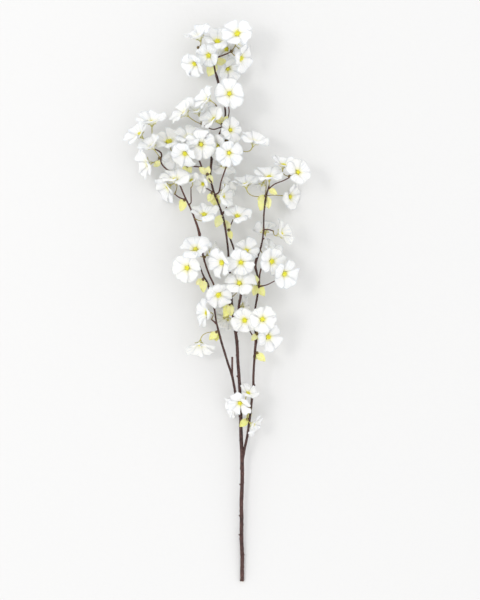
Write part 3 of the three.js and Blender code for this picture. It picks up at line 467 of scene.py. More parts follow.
# A spur is the limb it is on, the place (x, y) there, its flowers and its leaves. A flower is (x, y,
# z of its middle, lean from upright, compass direction it faces, spread of its petals from its axis,
# width). With None for z it lies on the board. A leaf is (compass direction, rise, length). In
# millimetres and degrees.
SPURS = [
    ("top_left", (-33, 406), [(-30, 422, 62, 66, 112, 55, 52), (-36, 382, 46, 52, 225, 62, 46)], []),
    ("leader", (-6, 404), [(4, 414, 60, 48, 80, 60, 50), (-18, 395, 62, 30, 215, 66, 40)], []),
    ("top_right", (19, 398), [
        (25, 426, 74, 24, 120, 72, 48), (12, 402, 40, 40, 200, 66, 40), (34, 390, 56, 62, 340, 60, 48),
        (31, 408, 47, 65, 25, 54, 47),
    ], []),
    ("leader", (-7, 384), [(15, 374, 44, 48, 310, 62, 44)], [(183, 0, 22), (245, -8, 27), (355, 10, 20)]),
    ("high", (16, 312), [(12, 328, 76, 8, 90, 78, 47)], []),
    ("arch", (-4, 313), [(-19, 318, 70, 65, 150, 54, 45)], []),
    ("arch", (5, 282), [
        (-16, 290, 72, 62, 140, 54, 48), (20, 275, 60, 35, 20, 70, 40),
    ], [(112, 5, 19), (55, 0, 17)]),
    ("arch", (14, 257), [(57, 256, 60, 65, 72, 54, 51), (1, 243, 60, 45, 200, 66, 40)], []),
    ("west", (-25, 282), [(-34, 308, 46, 62, 105, 55, 46), (-52, 299, 58, 65, 138, 54, 51)], []),
    ("arch", (21, 238), [(17, 235, 82, 18, 290, 76, 42), (6, 213, 42, 120, 255, 65, 42)], []),
    ("upper_left", (-40, 234), [
        (-29, 250, 74, 8, 250, 78, 47), (-50, 237, 72, 42, 240, 64, 44), (-50, 262, 60, 48, 95, 62, 46),
    ], []),
    ("cross", (-65, 229), [(-78, 256, 64, 50, 98, 62, 52), (-71, 226, 50, 52, 262, 60, 48)], []),
    ("far_left", (-108, 246), [(-103, 286, 60, 65, 92, 54, 53), (-130, 274, 54, 65, 138, 54, 51)], []),
    ("far_left", (-92, 229), [(-116, 224, 48, 65, 192, 54, 53), (-106, 243, 66, 62, 128, 54, 44)], []),
    ("far_left", (-71, 206), [(-70, 203, 72, 60, 98, 60, 52)], []),
    ("twig_c", (-70, 171), [(-86, 182, None, 66, 212, 54, 50)], []),
    ("twig_b", (-44, 181), [(-44, 194, 64, 50, 120, 58, 28)], []),
    ("twig_a", (-21, 182), [(-26, 187, 50, 50, 190, 62, 32)], []),
    ("arch", (3, 181), [(15, 184, 28, 110, 30, 65, 38)], []),
    ("leader", (-4, 165), [(10, 163, 58, 65, 15, 58, 42)], []),
    ("far_left", (-38, 132), [(-23, 141, 62, 55, 88, 62, 46)], []),
    ("middle", (23, 130), [(30, 141, 62, 55, 85, 66, 46)], []),
    ("right", (76, 168), [
        (44, 192, 58, 68, 97, 54, 48), (70, 184, 34, 100, 250, 62, 40), (118, 168, None, 55, 350, 66, 46),
    ], [(250, 10, 26), (285, 12, 22), (205, 0, 15)]),
    ("right", (81, 184), [(81, 202, 66, 60, 92, 60, 50)], []),
    ("right_out", (113, 197), [(127, 206, 66, 32, 30, 72, 44), (105, 218, 54, 65, 78, 54, 45)], []),
    ("right_mid", (87, 112), [(103, 109, 60, 65, 25, 54, 49)], []),
    ("right", (72, 122), [(74, 114, 34, 120, 100, 60, 42)], []),
    ("right", (66, 82), [(81, 85, 50, 65, 42, 54, 45)], []),
    ("right_in", (73, 61), [(87, 62, 76, 28, 330, 74, 46)], []),
    ("right", (65, 26), [(49, 27, 44, 66, 165, 60, 44)], [(125, 28, 23), (250, 12, 20), (300, 22, 24)]),
    ("middle", (32, 62), [(44, 82, 70, 34, 60, 70, 42), (34, 58, 80, 15, 270, 76, 44)], []),
    ("leader", (18, 50), [(9, 62, 72, 52, 195, 62, 46)], []),
    ("far_left", (-24, 70), [(-16, 80, 44, 65, 40, 54, 47), (-36, 80, 64, 42, 100, 68, 50)], []),
    ("left", (-30, 56), [(-52, 54, 66, 24, 200, 74, 48)], []),
    ("leader", (20, 6), [(30, 29, 80, 35, 90, 74, 48)], []),
    ("left", (-10, 0), [(-2, 10, 63, 35, 280, 72, 44)], []),
    ("left_fork", (-11, -30), [(-20, -18, 44, 65, 182, 54, 47)], []),
    ("middle", (33, -8), [(39, -8, 32, 110, 0, 62, 40)], []),
    ("leader", (23, -19), [(12, -29, None, 130, 240, 66, 46)], []),
    ("low_right", (50, -48), [(42, -30, 66, 25, 200, 74, 42)], []),
    ("right", (60, -53), [
        (70, -30, 78, 12, 45, 77, 44), (81, -58, 60, 42, 335, 72, 46),
    ], [(230, 25, 15), (300, -30, 14)]),
    ("left", (0, -49), [(-30, -74, 46, 65, 265, 54, 51)], [(225, 20, 19), (265, -25, 17)]),
    ("right", (52, -174), [
        (34, -163, 56, 40, 250, 62, 40), (47, -146, 48, 60, 60, 60, 36), (60, -200, 36, 68, 330, 58, 38),
    ], []),
    ("leader", (36, -171), [(23, -173, 28, 66, 200, 60, 38)], []),
    ("right_low", (90, 32), [(106, 43, 66, 38, 330, 70, 46)], []),
    ("upper_left", (-20, 202), [], [(140, 15, 18), (80, 30, 15), (300, -15, 18)]),
    ("leader", (-8, 174), [], [(245, 5, 16), (293, -10, 26)]),
    ("leader", (6, 138), [], [(245, 5, 22)]),
    ("middle", (18, 114), [], [(112, 0, 18), (285, 10, 16)]),
    ("far_left", (-52, 163), [], [(250, 5, 20), (215, -40, 15)]),
    ("right", (80, 180), [], [(325, 0, 17)]),
    ("far_left", (-92, 224), [], [(215, -15, 15)]),
    ("left", (-22, 36), [], [(270, 10, 22), (215, -20, 16)]),
    ("leader", (21, -5), [], [(245, 15, 24), (275, 25, 21), (200, -30, 17)]),
    ("right", (58, -83), [], [(315, 15, 20), (250, -20, 14)]),
    ("right", (51, -191), [], [(222, 20, 19), (75, -25, 17)]),
    ("cross", (-49, 219), [], [(235, -10, 15), (300, -20, 14)]),
]

# The flowers' nodes, from the tip of the spray down, in bunches that are dressed together, and the
# bunch that each leafy spur's own node goes with.
BUNCHES = {
    "crown": range(1, 5),
    "upper": range(5, 12),
    "left": range(12, 19),
    "inner": range(19, 23),
    "right": range(23, 28),
    "forks": range(28, 32),
    "middle": range(32, 40),
    "low": range(40, 46),
}
LEAFY = [
    "upper", "inner", "inner", "middle", "left", "right", "left", "middle", "middle", "low", "low", "left",
]

THROAT_RADIUS = 4.2
PETALS = 5
PETAL_BOW = 2.4  # how far a petal bends outwards along its length
PETAL_CUP = 1.5  # how far its edges stand above its middle
PETAL_FLARE = 0.12  # share of its length that the tip of an upright petal leans out
PETAL_DROOP = 0.15  # share of its rise that the petal loses towards its tip
PETAL_WAVE = 0.8  # how far its sides may twist up and down
SPREAD_VARIES = 7  # degrees between the petals of a flower
LENGTH_VARIES = 0.06  # share of a petal's length
FULL_WIDTH = 46.0  # of an open flower, petal tip to petal tip
CALYX_DEPTH = 6.5
STALK_SEAT = 0.75  # share of the calyx that stands clear of the end of the stalk
STALK_BEND = 0.55  # share of the stalk's reach that runs straight behind the flower
KNOB_RADIUS = 2.5
KNOB_STANDS_OFF = 0.45  # share of its radius that the knob's middle lies off the bark
LONE_STALK_DEPTH = 0.5  # share of the wood's radius at which a stalk without a knob starts
RESTING_AIM = 10  # height that the knob of a resting flower points at
GOLDEN_ANGLE = 137.5
LEAF_SAG = 0.1  # share of its length that a leaf's tip hangs down
LEAF_ROWS = np.array([0.24, 0.52, 0.8])  # share of a leaf's length at each of its feelers
SOLID_ROWS = np.array([0.4, 0.76, 1.0])  # where the plain solids' petals have their rows
SOLID_WIDTHS = np.array([8.2, 12.0, 8.0])
SOLID_THICKNESS = 1.4
WEDGE_SHARE = 0.93  # of the wedge between its neighbours that a plain solid's petal may fill

FEELER_RADIUS = 4.0  # feelers are round: on the petals and throat, on the stalks, on the leaves
STALK_FEELER = 1.7
LEAF_FEELER = 2.6
STALK_AT = [0.4, 0.65, 0.88]  # share of a stalk at each of its feelers
WOOD_MARGIN = 1.0
WOOD_STEP = 7.0
SETTLE_STEPS = 150
SETTLE_SHARE = 0.3  # of an overlap, cleared in each step
SIDEWAYS_SHARE = 0.6  # flowers give way mostly up and down
MOST_SIDEWAYS = 6.0
MOST_MOVE = 1.5  # in one step
OUT_OF_REACH = 74.0  # flowers whose middles are further apart never meet
STALK_FREE = 12.0  # the first part of a stalk may pass close to wood and leaves
SIGHT = 45.0
LOWEST = 2.0  # height at which flowers that don't rest on the board stay


def vary(i, k):
    """A repeatable number from -1 to 1 for a pair of counts: the fraction of a large sine."""
    wave = np.sin(i * 12.9898 + k * 78.233) * 43758.5453
    return 2 * (wave - np.floor(wave)) - 1


def turn_of(lean, toward, turn):
    """The rotation that leans a flower from upright towards a compass direction: about Z by
    `toward`, about Y by `lean`, and about Z by what is left of `turn`."""
    def about_z(angle):
        c, s = np.cos(np.radians(angle)), np.sin(np.radians(angle))
        return np.array([[c, -s, 0], [s, c, 0], [0, 0, 1]])
    c, s = np.cos(np.radians(lean)), np.sin(np.radians(lean))
    return about_z(toward) @ np.array([[c, 0, s], [0, 1, 0], [-s, 0, c]]) @ about_z(turn - toward)


def petal_run(flower, k, s):
    """Petal k's spread, its length, and how far from the flower's axis it is at s times its length:
    the throat's radius, plus the sine of the spread times s, plus a flare that grows with s squared."""
    spread = np.radians(flower["spread"] + SPREAD_VARIES * vary(flower["number"], k))
    length = (FULL_WIDTH / 2 - THROAT_RADIUS) * (1 + LENGTH_VARIES * vary(flower["number"], k + 5))
    out = THROAT_RADIUS + length * (s * np.sin(spread) + PETAL_FLARE * s**2 * np.cos(spread))
    return spread, length, out


def petal_point(flower, k, s, half, u):
    """A point of petal k, in the flower's own frame, whose +Z is the way it faces. It runs out from
    the throat with s, opening by the flower's spread and bowing by a sine. Across it, at u times
    the half width `half`, it is cupped by u squared and waved a little to one side."""
    spread, length, out = petal_run(flower, k, s)
    up = length * s * np.cos(spread) * (1 - PETAL_DROOP * s) + PETAL_BOW * np.sin(np.pi * s)
    up = up + PETAL_CUP * u**2 * np.sin(np.pi * np.minimum(s, 0.85))
    up = up + PETAL_WAVE * np.sin(np.pi * s) * vary(flower["number"], k + 10) * u
    a = 2 * np.pi * k / PETALS
    across = u * half
    return flower["scale"] * np.stack([out * np.cos(a) - across * np.sin(a),
                                       out * np.sin(a) + across * np.cos(a), up + 0 * a], -1)


def solid_petal_point(flower, k, s, u):
    """The same point on the plain solid's petal, whose half width is read off its rows and stays
    inside the wedge between its neighbours."""
    _, _, out = petal_run(flower, k, s)
    wedge = np.tan(np.pi / PETALS)
    half = np.interp(s, [0, *SOLID_ROWS], [THROAT_RADIUS * wedge, *SOLID_WIDTHS])
    return petal_point(flower, k, s, np.minimum(half, WEDGE_SHARE * out * wedge), u)


def throat_of(flower, middle):
    """The throat lies behind the middle of the petals, by half of what they stand forward."""
    depth = 0.5 * (FULL_WIDTH / 2 - THROAT_RADIUS) * np.cos(np.radians(flower["spread"]))
    return middle - flower["axis"] * depth * flower["scale"]


def stalk_points(flower, throat, t):
    """The stalk: a curve of three points from the spur to the foot of the calyx, which it meets
    along the flower's own axis."""
    foot = throat - flower["axis"] * STALK_SEAT * CALYX_DEPTH * flower["scale"]
    bend = foot - flower["axis"] * STALK_BEND * np.linalg.norm(foot - flower["root"])
    t = np.asarray(t)[:, None]
    return flower["root"] * (1 - t)**2 + bend * 2 * t * (1 - t) + foot * t**2


def leaf_axes(toward, rise):
    """A leaf's three directions: along it, across it and up from its face."""
    along, across = compass(toward, rise), compass(toward + 90)
    return along, across, np.cross(along, across)


# Each spur stands square to its limb, or any way at the limb's tip, and points at what it carries.
flowers, leaves, spurs = [], [], []
for number, (limb, place, blooms, tuft) in enumerate(SPURS):
    point, radius, along, is_tip = on_limb(limb, *place)
    if blooms:
        aims = [unit(np.array([x, y, RESTING_AIM if z is None else z]) - point) for x, y, z, *_ in blooms]
    else:
        aims = [np.array([*compass(toward)[:2], np.sin(np.radians(rise))]) for toward, rise, _ in tuft]
    aim = sum(aims)
    aim = unit(aim - along * aim.dot(along) * (not is_tip))
    has_knob = len(blooms) + len(tuft) > 1
    stands_off = radius + KNOB_STANDS_OFF * KNOB_RADIUS if has_knob else LONE_STALK_DEPTH * radius
    root = point + aim * stands_off
    count = 1 + sum(bool(spur["flowers"]) == bool(blooms) for spur in spurs)
    if blooms:
        node = f"blossoms_{count:02d}"
        bunch = next(name for name, counts in BUNCHES.items() if count in counts)
    else:
        node = f"leaves_{count:02d}"
        bunch = LEAFY[count - 1]
    spur = dict(root=root, aim=aim, has_knob=has_knob, node=node, bunch=bunch, flowers=[], leaves=[])
    spurs.append(spur)
    for x, y, z, lean, toward, spread, width in blooms:
        turn = turn_of(lean, toward, len(flowers) * GOLDEN_ANGLE)
        flower = dict(number=len(flowers), spur=number, root=root, home=np.array([x, y, z or 0.0]),
                      rests=z is None, turn=turn, axis=turn[:, 2], spread=spread,
                      scale=width / FULL_WIDTH)
        flowers.append(flower)
        spur["flowers"].append(flower)
    for toward, rise, length in tuft:
        leaf = dict(number=len(leaves), spur=number, root=root, toward=toward, rise=rise, length=length)
        leaves.append(leaf)
        spur["leaves"].append(leaf)

# Each flower's feelers, measured from its middle: five on each petal, then the throat; and how far
# it reaches down below its middle, which sets how high a flower that rests on the board lies.
FEELER_K, spot = (grid.ravel() for grid in np.indices((PETALS, 5)))
FEELER_S = np.array([0.4, 0.7, 0.7, 1.0, 1.0])[spot]
FEELER_U = np.array([0.0, 0.65, -0.65, 0.6, -0.6])[spot]
EDGE_K, row, column = (grid.ravel() for grid in np.indices((PETALS, len(SOLID_ROWS), 3)))
EDGE_S, EDGE_U = SOLID_ROWS[row], column - 1.0
for flower in flowers:
    behind = throat_of(flower, np.zeros(3))
    touch = solid_petal_point(flower, FEELER_K, FEELER_S, FEELER_U) @ flower["turn"].T
    flower["touch"] = np.vstack([touch, np.zeros((1, 3))]) + behind
    edge = solid_petal_point(flower, EDGE_K, EDGE_S, EDGE_U) @ flower["turn"].T + behind
    half_thick = 0.5 * SOLID_THICKNESS * flower["scale"] * abs(flower["axis"][2])
    flower["reach_down"] = (edge[:, 2] - half_thick * ((EDGE_U == 0) & (EDGE_S < 1))).min()

middles = np.array([flower["home"] for flower in flowers])
homes = middles.copy()
roots = np.array([flower["root"] for flower in flowers])
touches = np.array([flower["touch"] for flower in flowers])
rests = np.array([flower["rests"] for flower in flowers])
downs = np.array([flower["reach_down"] for flower in flowers])
spur_of = np.array([flower["spur"] for flower in flowers])
middles[rests, 2] = -downs[rests]

# What keeps still, and the flowers give way to: places along the wood (spur -1) and on the leaves.
still, still_radius, still_spur = [], [], []
for knots in LIMBS.values():
    for a, b in zip(np.array(knots[:-1], float), np.array(knots[1:], float)):
        count = int(np.ceil(np.linalg.norm(b[:3] - a[:3]) / WOOD_STEP))
        t = (np.arange(count) + 0.5)[:, None] / count
        spots = a + (b - a) * t
        still.append(spots[:, :3])
        still_radius.append(spots[:, 3] + WOOD_MARGIN)
        still_spur.append(np.full(count, -1))
for leaf in leaves:
    along, _, up = leaf_axes(leaf["toward"], leaf["rise"])
    run = LEAF_ROWS[:, None] * leaf["length"]
    still.append(leaf["root"] + along * run - up * LEAF_SAG * run**2 / leaf["length"])
    still_radius.append(np.full(len(LEAF_ROWS), LEAF_FEELER))
    still_spur.append(np.full(len(LEAF_ROWS), leaf["spur"]))
still = np.vstack(still)
still_radius = np.concatenate(still_radius)
still_spur = np.concatenate(still_spur)


def feelers_at(middles):
    """All the flowers' feelers, one flower's after another's, with their middles at these places."""
    stalks = [stalk_points(f, throat_of(f, m), STALK_AT) for f, m in zip(flowers, middles)]
    return np.concatenate([middles[:, None] + touches, np.array(stalks)], axis=1).reshape(-1, 3)


def distances(a, b):
    """The distance of each point of one list from each of another."""
    return np.sqrt(sum((a[:, None, axis] - b[None, :, axis]) ** 2 for axis in range(3)))


def push_apart(apart, room):
    """What overlapping feelers push each other by: their overlap, along the line between them with
    its sideways part reduced."""
    gap = np.linalg.norm(apart, axis=-1)
    away = apart * np.array([SIDEWAYS_SHARE, SIDEWAYS_SHARE, 1.0])
    size = np.linalg.norm(away, axis=-1)
    away = np.where(size[..., None] < 1e-6, UP, away / np.maximum(size, 1e-6)[..., None])
    return away * (SETTLE_SHARE * np.maximum(room - gap, 0))[..., None]


# Only what is within SIGHT at the start can come to touch. Stalks from one spur may cross, and so
# may a stalk and its own leaves, and a stalk may leave the wood.
spots = feelers_at(middles)
owner, spot = (grid.ravel() for grid in np.indices((len(flowers), len(spots) // len(flowers))))
is_stalk = spot >= touches.shape[1]
reach = np.where(is_stalk, STALK_FEELER, FEELER_RADIUS)
kin = is_stalk[:, None] & is_stalk & (spur_of[owner][:, None] == spur_of[owner])
one, two = np.nonzero((distances(spots, spots) < SIGHT) & (owner[:, None] < owner) & ~kin)
own = is_stalk[:, None] & (still_spur == spur_of[owner][:, None])
free, rock = np.nonzero((distances(spots, still) < SIGHT) & ~own)
for _ in range(SETTLE_STEPS):
    spots = feelers_at(middles)
    near = np.linalg.norm(middles[owner[one]] - middles[owner[two]], axis=1) <= OUT_OF_REACH
    push = 0.5 * push_apart(spots[one] - spots[two], (reach[one] + reach[two]) * near)
    moves = np.zeros_like(middles)
    np.add.at(moves, owner[one], push)
    np.add.at(moves, owner[two], -push)
    leaving = is_stalk & (np.linalg.norm(spots - roots[owner], axis=1) < STALK_FREE)
    push = push_apart(spots[free] - still[rock], (reach[free] + still_radius[rock]) * ~leaving[free])
    np.add.at(moves, owner[free], push)
    size = np.linalg.norm(moves, axis=1, keepdims=True)
    middles += moves * np.minimum(1, MOST_MOVE / np.maximum(size, 1e-9))
    side = middles[:, :2] - homes[:, :2]
    size = np.linalg.norm(side, axis=1, keepdims=True)
    middles[:, :2] = homes[:, :2] + side * np.minimum(1, MOST_SIDEWAYS / np.maximum(size, 1e-9))
    low = np.minimum(feelers_at(middles)[:, 2].reshape(len(flowers), -1).min(axis=1) - LOWEST, 0)
    middles[:, 2] = np.where(rests, -downs, middles[:, 2] - low)
for flower, middle in zip(flowers, middles):
    flower["throat"] = throat_of(flower, middle)


# ---- The petals ----------------------------------------------------------------------------------
# Five to a flower: thin white cloth, stamped out, dyed pale yellow at the foot and pressed between
# warm moulds, which cups each petal, ruffles its edge and leaves fine creases from its foot.

PETAL_GRID = 8  # points along each side of a petal's grid
PETAL_MM = 0.45  # thickness at its middle
PETAL_FROM, PETAL_TO = -0.12, 1.07  # of the run from the throat to the tip
PETAL_HALF_WIDTH = 15.6
PETAL_VARIES = 0.1  # share of its length, and of its width
NOTCH_DEPTH = 0.05  # share of its length
NOTCH_WIDTH = 0.22  # share of its half width
SCALLOP_DEPTH = 0.05
RUFFLE_MM = 1.25  # how far the rim rises and falls
RUFFLE_WAVES = 8  # in a full turn round the petal's foot
OVERLAP_TILT = 0.13  # one edge of each petal rides over its neighbour's
CURL_MM = 0.7  # how far a petal's tip bends back
CURL_VARIES_MM = 2.2
CREASE_MM = 0.8
CREASE_WIDTH = 0.2
NOD_MM = 2.4  # how far a petal's tip may stand above or below its place
MOST_SWING = 8  # degrees that a petal may stand aside from its place


def disc_grid(n):
    """A square grid of n by n points bent into a round one: x times the root of 1 - y squared / 2,
    and the same for y. Returns x and y (n, n), x running down the rows."""
    x, y = np.meshgrid(np.linspace(-1, 1, n), np.linspace(-1, 1, n), indexing="ij")
    return x * np.sqrt(1 - y**2 / 2), y * np.sqrt(1 - x**2 / 2)


def blade(surface, thickness, n):
    """Closed thin blades from surfaces (m, n, n, 3) whose rows run across and columns along: inside
    the rim each point is doubled, half the thickness to either side along the surface's normal.
    Returns the vertices, the faces and which vertices are on the rim."""
    normal = unit(np.cross(np.gradient(surface, axis=2), np.gradient(surface, axis=1)))
    row, column = np.indices((n, n))
    inside = (np.minimum(row, column) > 0) & (np.maximum(row, column) < n - 1)
    above = surface + normal * (0.5 * thickness * inside)[..., None]
    below = (surface - normal * 0.5 * thickness)[:, inside]
    points = np.concatenate([above.reshape(len(surface), n * n, 3), below], axis=1)
    top = np.arange(n * n).reshape(n, n)
    bottom = top.copy()
    bottom[inside] = n * n + np.arange(inside.sum())
    def quads(index):
        return np.stack([index[:-1, :-1], index[:-1, 1:], index[1:, 1:], index[1:, :-1]], -1).reshape(-1, 4)
    faces = np.concatenate([quads(top), quads(bottom)[:, ::-1]])
    start = np.arange(len(surface))[:, None, None] * points.shape[1]
    rim = np.concatenate([~inside.ravel(), np.zeros(inside.sum(), bool)]).astype(float)
    return points, [(faces + start).reshape(-1, 4)], np.tile(rim, len(surface))


def both_sides(values, n):
    """A value for each point of (m, n, n) surfaces, given to the blades' vertices on both sides."""
    row, column = np.indices((n, n))
    inside = (np.minimum(row, column) > 0) & (np.maximum(row, column) < n - 1)
    return np.concatenate([values.reshape(len(values), n * n), values[:, inside]], axis=1)


def cloth_petals(flower):
    """The five petals of a flower. Each is a disc drawn out to a narrow foot and a broad round end,
    on the surface of petal_point, with a bell-shaped notch and small scallops at the tip. It is
    lifted by a wave round the foot that grows with the fourth power of the way to the rim, a tilt
    that lays one edge over the next petal, a curl of the tip, a crease down the middle and a nod of
    the whole, and it swings a little about the flower's axis. Returns its points, s and u."""
    i, k = flower["number"], np.arange(PETALS)[:, None, None]
    x, y = disc_grid(PETAL_GRID)
    chord = np.sqrt(1 - 0.999 * y**2)
    edge = np.hypot(x, y)
    tip = np.clip(y, 0, 1)
    draw = [vary(i, k + 5 * n) for n in range(3, 14)]  # eleven numbers from -1 to 1 for each petal
    notch = NOTCH_DEPTH * (1 + draw[0]) * np.exp(-((x - 0.2 * draw[1]) / NOTCH_WIDTH) ** 2) * tip**6
    scallops = SCALLOP_DEPTH * np.sin(9 * x + 3 * draw[2]) * tip**4
    run = (PETAL_TO - PETAL_FROM) * (y + 1) / 2 * (1 + PETAL_VARIES * draw[8])
    s = PETAL_FROM + run - notch + scallops
    half = PETAL_HALF_WIDTH * (1 + PETAL_VARIES * draw[3]) * (0.66 + 0.42 * y + 0.08 * y**2) * chord
    half = half * (1 + 0.05 * edge**4 * np.sin(9 * y + 4 * draw[9] + 2 * np.sign(x)))
    u = x / chord
    points = petal_point(flower, k, s, half, u)
    wave = np.sin(RUFFLE_WAVES * np.arctan2(x, y + 0.9) + 6 * draw[4])
    ruffle = RUFFLE_MM * edge**4 * wave * np.clip(0.9 + y, 0.2, 1)
    tilt = OVERLAP_TILT * u * half
    curl = (CURL_MM + CURL_VARIES_MM * draw[5]) * np.clip(s - 0.6, 0, 1) ** 2 / 0.4**2
    crease = CREASE_MM * np.exp(-(x / CREASE_WIDTH) ** 2) * (0.4 + y) * draw[6]
    nod = NOD_MM * draw[7] * (s - 0.2)
    points[..., 2] += flower["scale"] * (ruffle + tilt - curl + crease + nod)
    swing = np.radians(MOST_SWING) * draw[10]
    out, aside, up = np.moveaxis(points, -1, 0)
    turned = [out * np.cos(swing) - aside * np.sin(swing), out * np.sin(swing) + aside * np.cos(swing), up]
    return np.stack(turned, -1), s, u


def set_on(flower, points, size=1.0):
    """Points of a flower's own frame, times `size`, turned the way it faces and set on its throat."""
    return size * points @ flower["turn"].T + flower["throat"]


def grown_in(bunch, kind):
    """What grows in a bunch of one kind, flowers or leaves, and the nodes of the spurs it is on."""
    there = [spur for spur in spurs if spur["bunch"] == bunch and spur[kind]]
    return [grown for spur in there for grown in spur[kind]], [spur["node"] for spur in there]


# Polyester cloth: matt with a soft sheen, and thin enough that light glows through it. It is a cool
# or a warm white with painted grey-blue shade in the creases and along the cut rim, and pale yellow
# at the foot. Its weave of about 0.25 mm is too fine to show, so it is drawn ten times as coarse,
# along one diagonal.
WEAVE_MM = 2.54
WAVE_SPACING = np.pi / (5 * np.sqrt(3))  # of the diagonal bands of the wave texture at scale 1
petal_cloth, tree, shader = new_material("pressed_petal_cloth", {
    "Roughness": 0.62,
    "IOR": 1.45,
    "Specular IOR Level": 0.3,
    "Sheen Weight": 0.25,
    "Sheen Roughness": 0.4,
    "Subsurface Weight": 1.0,
    "Subsurface Radius": (1.0, 1.0, 0.95),
    "Subsurface Scale": 0.8 * MM,
})
outward = add_node(tree, "ShaderNodeAttribute", attribute_name="outward")
across = add_node(tree, "ShaderNodeAttribute", attribute_name="across")
edge = add_node(tree, "ShaderNodeAttribute", attribute_name="edge")
tone = add_node(tree, "ShaderNodeAttribute", attribute_name="tone")
white = add_node(tree, "ShaderNodeMapRange", {"Value": (tone, "Fac"), "From Min": -0.6, "From Max": 0.6})
whites = add_node(tree, "ShaderNodeMix", {0: (white, 0), 6: linear("#F4F7FB"), 7: linear("#FAF9F2")},
                  data_type="RGBA")
fan = add_node(tree, "ShaderNodeCombineXYZ",
               {"X": (across, "Fac"), "Y": (outward, "Fac"), "Z": (tone, "Fac")})
spread_fan = add_node(tree, "ShaderNodeMapping", {"Vector": (fan, 0), "Scale": (5.0, 1.1, 40.0)})
creases = add_node(tree, "ShaderNodeTexNoise", {"Vector": (spread_fan, 0), "Scale": 1.0, "Detail": 3.0})
# Painted shade: grey-blue streaks that follow the creases, standing in for the shade that falls in them.
painted_crease_shade = add_node(tree, "ShaderNodeMapRange",
                   {"Value": (creases, 0), "From Min": 0.52, "From Max": 0.7, "To Max": 0.5})
with_crease_shade = add_node(tree, "ShaderNodeMix", {0: (painted_crease_shade, 0), 6: (whites, 2), 7: linear("#C9D1DA")},
                    data_type="RGBA")
# Painted shade: grey-blue round the rim of each petal, standing in for the shade along its edge.
painted_rim_shade = add_node(tree, "ShaderNodeMapRange",
                  {"Value": (edge, "Fac"), "From Min": 0.84, "From Max": 1.0, "To Max": 0.5})
with_rim_shade = add_node(tree, "ShaderNodeMix", {0: (painted_rim_shade, 0), 6: (with_crease_shade, 2), 7: linear("#AAB6C2")},
                  data_type="RGBA")
dyed = add_node(tree, "ShaderNodeMapRange",
                {"Value": (outward, "Fac"), "From Min": 0.3, "From Max": 0.0, "To Max": 0.6},
                interpolation_type="SMOOTHSTEP")
add_node(tree, "ShaderNodeMix", {0: (dyed, 0), 6: (with_rim_shade, 2), 7: linear("#FCF8C4")},
         [(2, shader, "Base Color")], data_type="RGBA")
crease_relief = add_node(tree, "ShaderNodeBump",
                         {"Height": (creases, 0), "Strength": 0.8, "Distance": 1.0 * MM})
place = add_node(tree, "ShaderNodeTexCoord")
threads = add_node(tree, "ShaderNodeTexWave", {
    "Vector": (place, "Object"), "Scale": WAVE_SPACING / (WEAVE_MM * MM), "Distortion": 1.5, "Detail": 1.0,
}, bands_direction="DIAGONAL")
add_node(tree, "ShaderNodeBump", {
    "Height": (threads, 1), "Strength": 0.2, "Distance": 0.1 * MM, "Normal": (crease_relief, 0),
}, [(0, shader, "Normal")])

for bunch in BUNCHES:
    cloth = Gathering()
    there, nodes = grown_in(bunch, "flowers")
    for flower in there:
        surface, s, u = cloth_petals(flower)
        points, faces, rim = blade(surface, PETAL_MM, PETAL_GRID)
        tone = vary(flower["number"], 60) * 0.5 + 0.25 * vary(flower["number"], np.arange(61, 66))
        tone = np.broadcast_to(tone[:, None, None], s.shape)
        edge = np.broadcast_to(np.hypot(*disc_grid(PETAL_GRID)), s.shape)
        points = set_on(flower, points)
        points[..., 2] = np.maximum(points[..., 2], LEAST_HEIGHT)
        cloth.add(points, faces, rim,
                  outward=both_sides(s, PETAL_GRID), across=both_sides(u + 0 * s, PETAL_GRID),
                  edge=both_sides(edge, PETAL_GRID), tone=both_sides(tone, PETAL_GRID))
    cloth.make(f"petals_{bunch}", petal_cloth, "root", nodes)


# ---- The stamens ---------------------------------------------------------------------------------
# In each throat stands a tuft of fine yellow threads with a small anther on the end of each,
# packed round a low dome, as the yellow eye of the flower.

STAMENS = 18
FILAMENT_MM = 2.7
FILAMENT_RADIUS = 0.24
FILAMENT_GIRTH = np.array([1.3, 1.0, 0.8])
MOST_LEAN = 40  # degrees, of the filaments at the edge of the dome
EYE_RADIUS = 3.8
DOME_UP = np.array([-0.6, 0.5, 1.7, 2.6, 3.0])
DOME_ROUND = np.array([0.9, 1.0, 0.85, 0.5, 0.15])
ANTHER_LENGTH = 1.4
ANTHER_RADIUS = 0.7
ANTHER_ROWS = np.array([-0.35, -0.1, 0.3, 0.5])  # share of its length past the filament's end
ANTHER_GIRTH = np.array([0.45, 1.0, 0.9, 0.3])
NORTH = np.array([0.0, 1.0, 0.0])


def stamen_lines(flower):
    """Filaments from places on the dome that turn by the golden angle and move out with the root of
    their count. Each rises from the dome, leaning out by as much as it stands out, and curves up."""
    count = np.arange(STAMENS)
    share = np.sqrt((count + 0.5) / STAMENS)
    turn = np.radians(GOLDEN_ANGLE) * count + 0.3 * vary(flower["number"], count + 80)
    lean = np.radians(MOST_LEAN) * share + 0.12 * vary(flower["number"], count + 120)
    length = FILAMENT_MM * (1 - 0.18 * share + 0.16 * vary(flower["number"], count + 160))
    out = np.stack([np.cos(turn), np.sin(turn), np.zeros(STAMENS)], -1)
    t = np.array([0.0, 0.5, 1.0])[:, None, None]
    rise = length[:, None] * t
    start = out * (0.85 * EYE_RADIUS * share)[:, None] + UP * (2.0 - 1.2 * share**2)[:, None]
    lines = start + rise * (out * np.sin(lean)[:, None] * (1.15 - 0.25 * t) + UP * np.cos(lean)[:, None])
    return np.swapaxes(lines, 0, 1), np.cross(UP, out)[:, None]


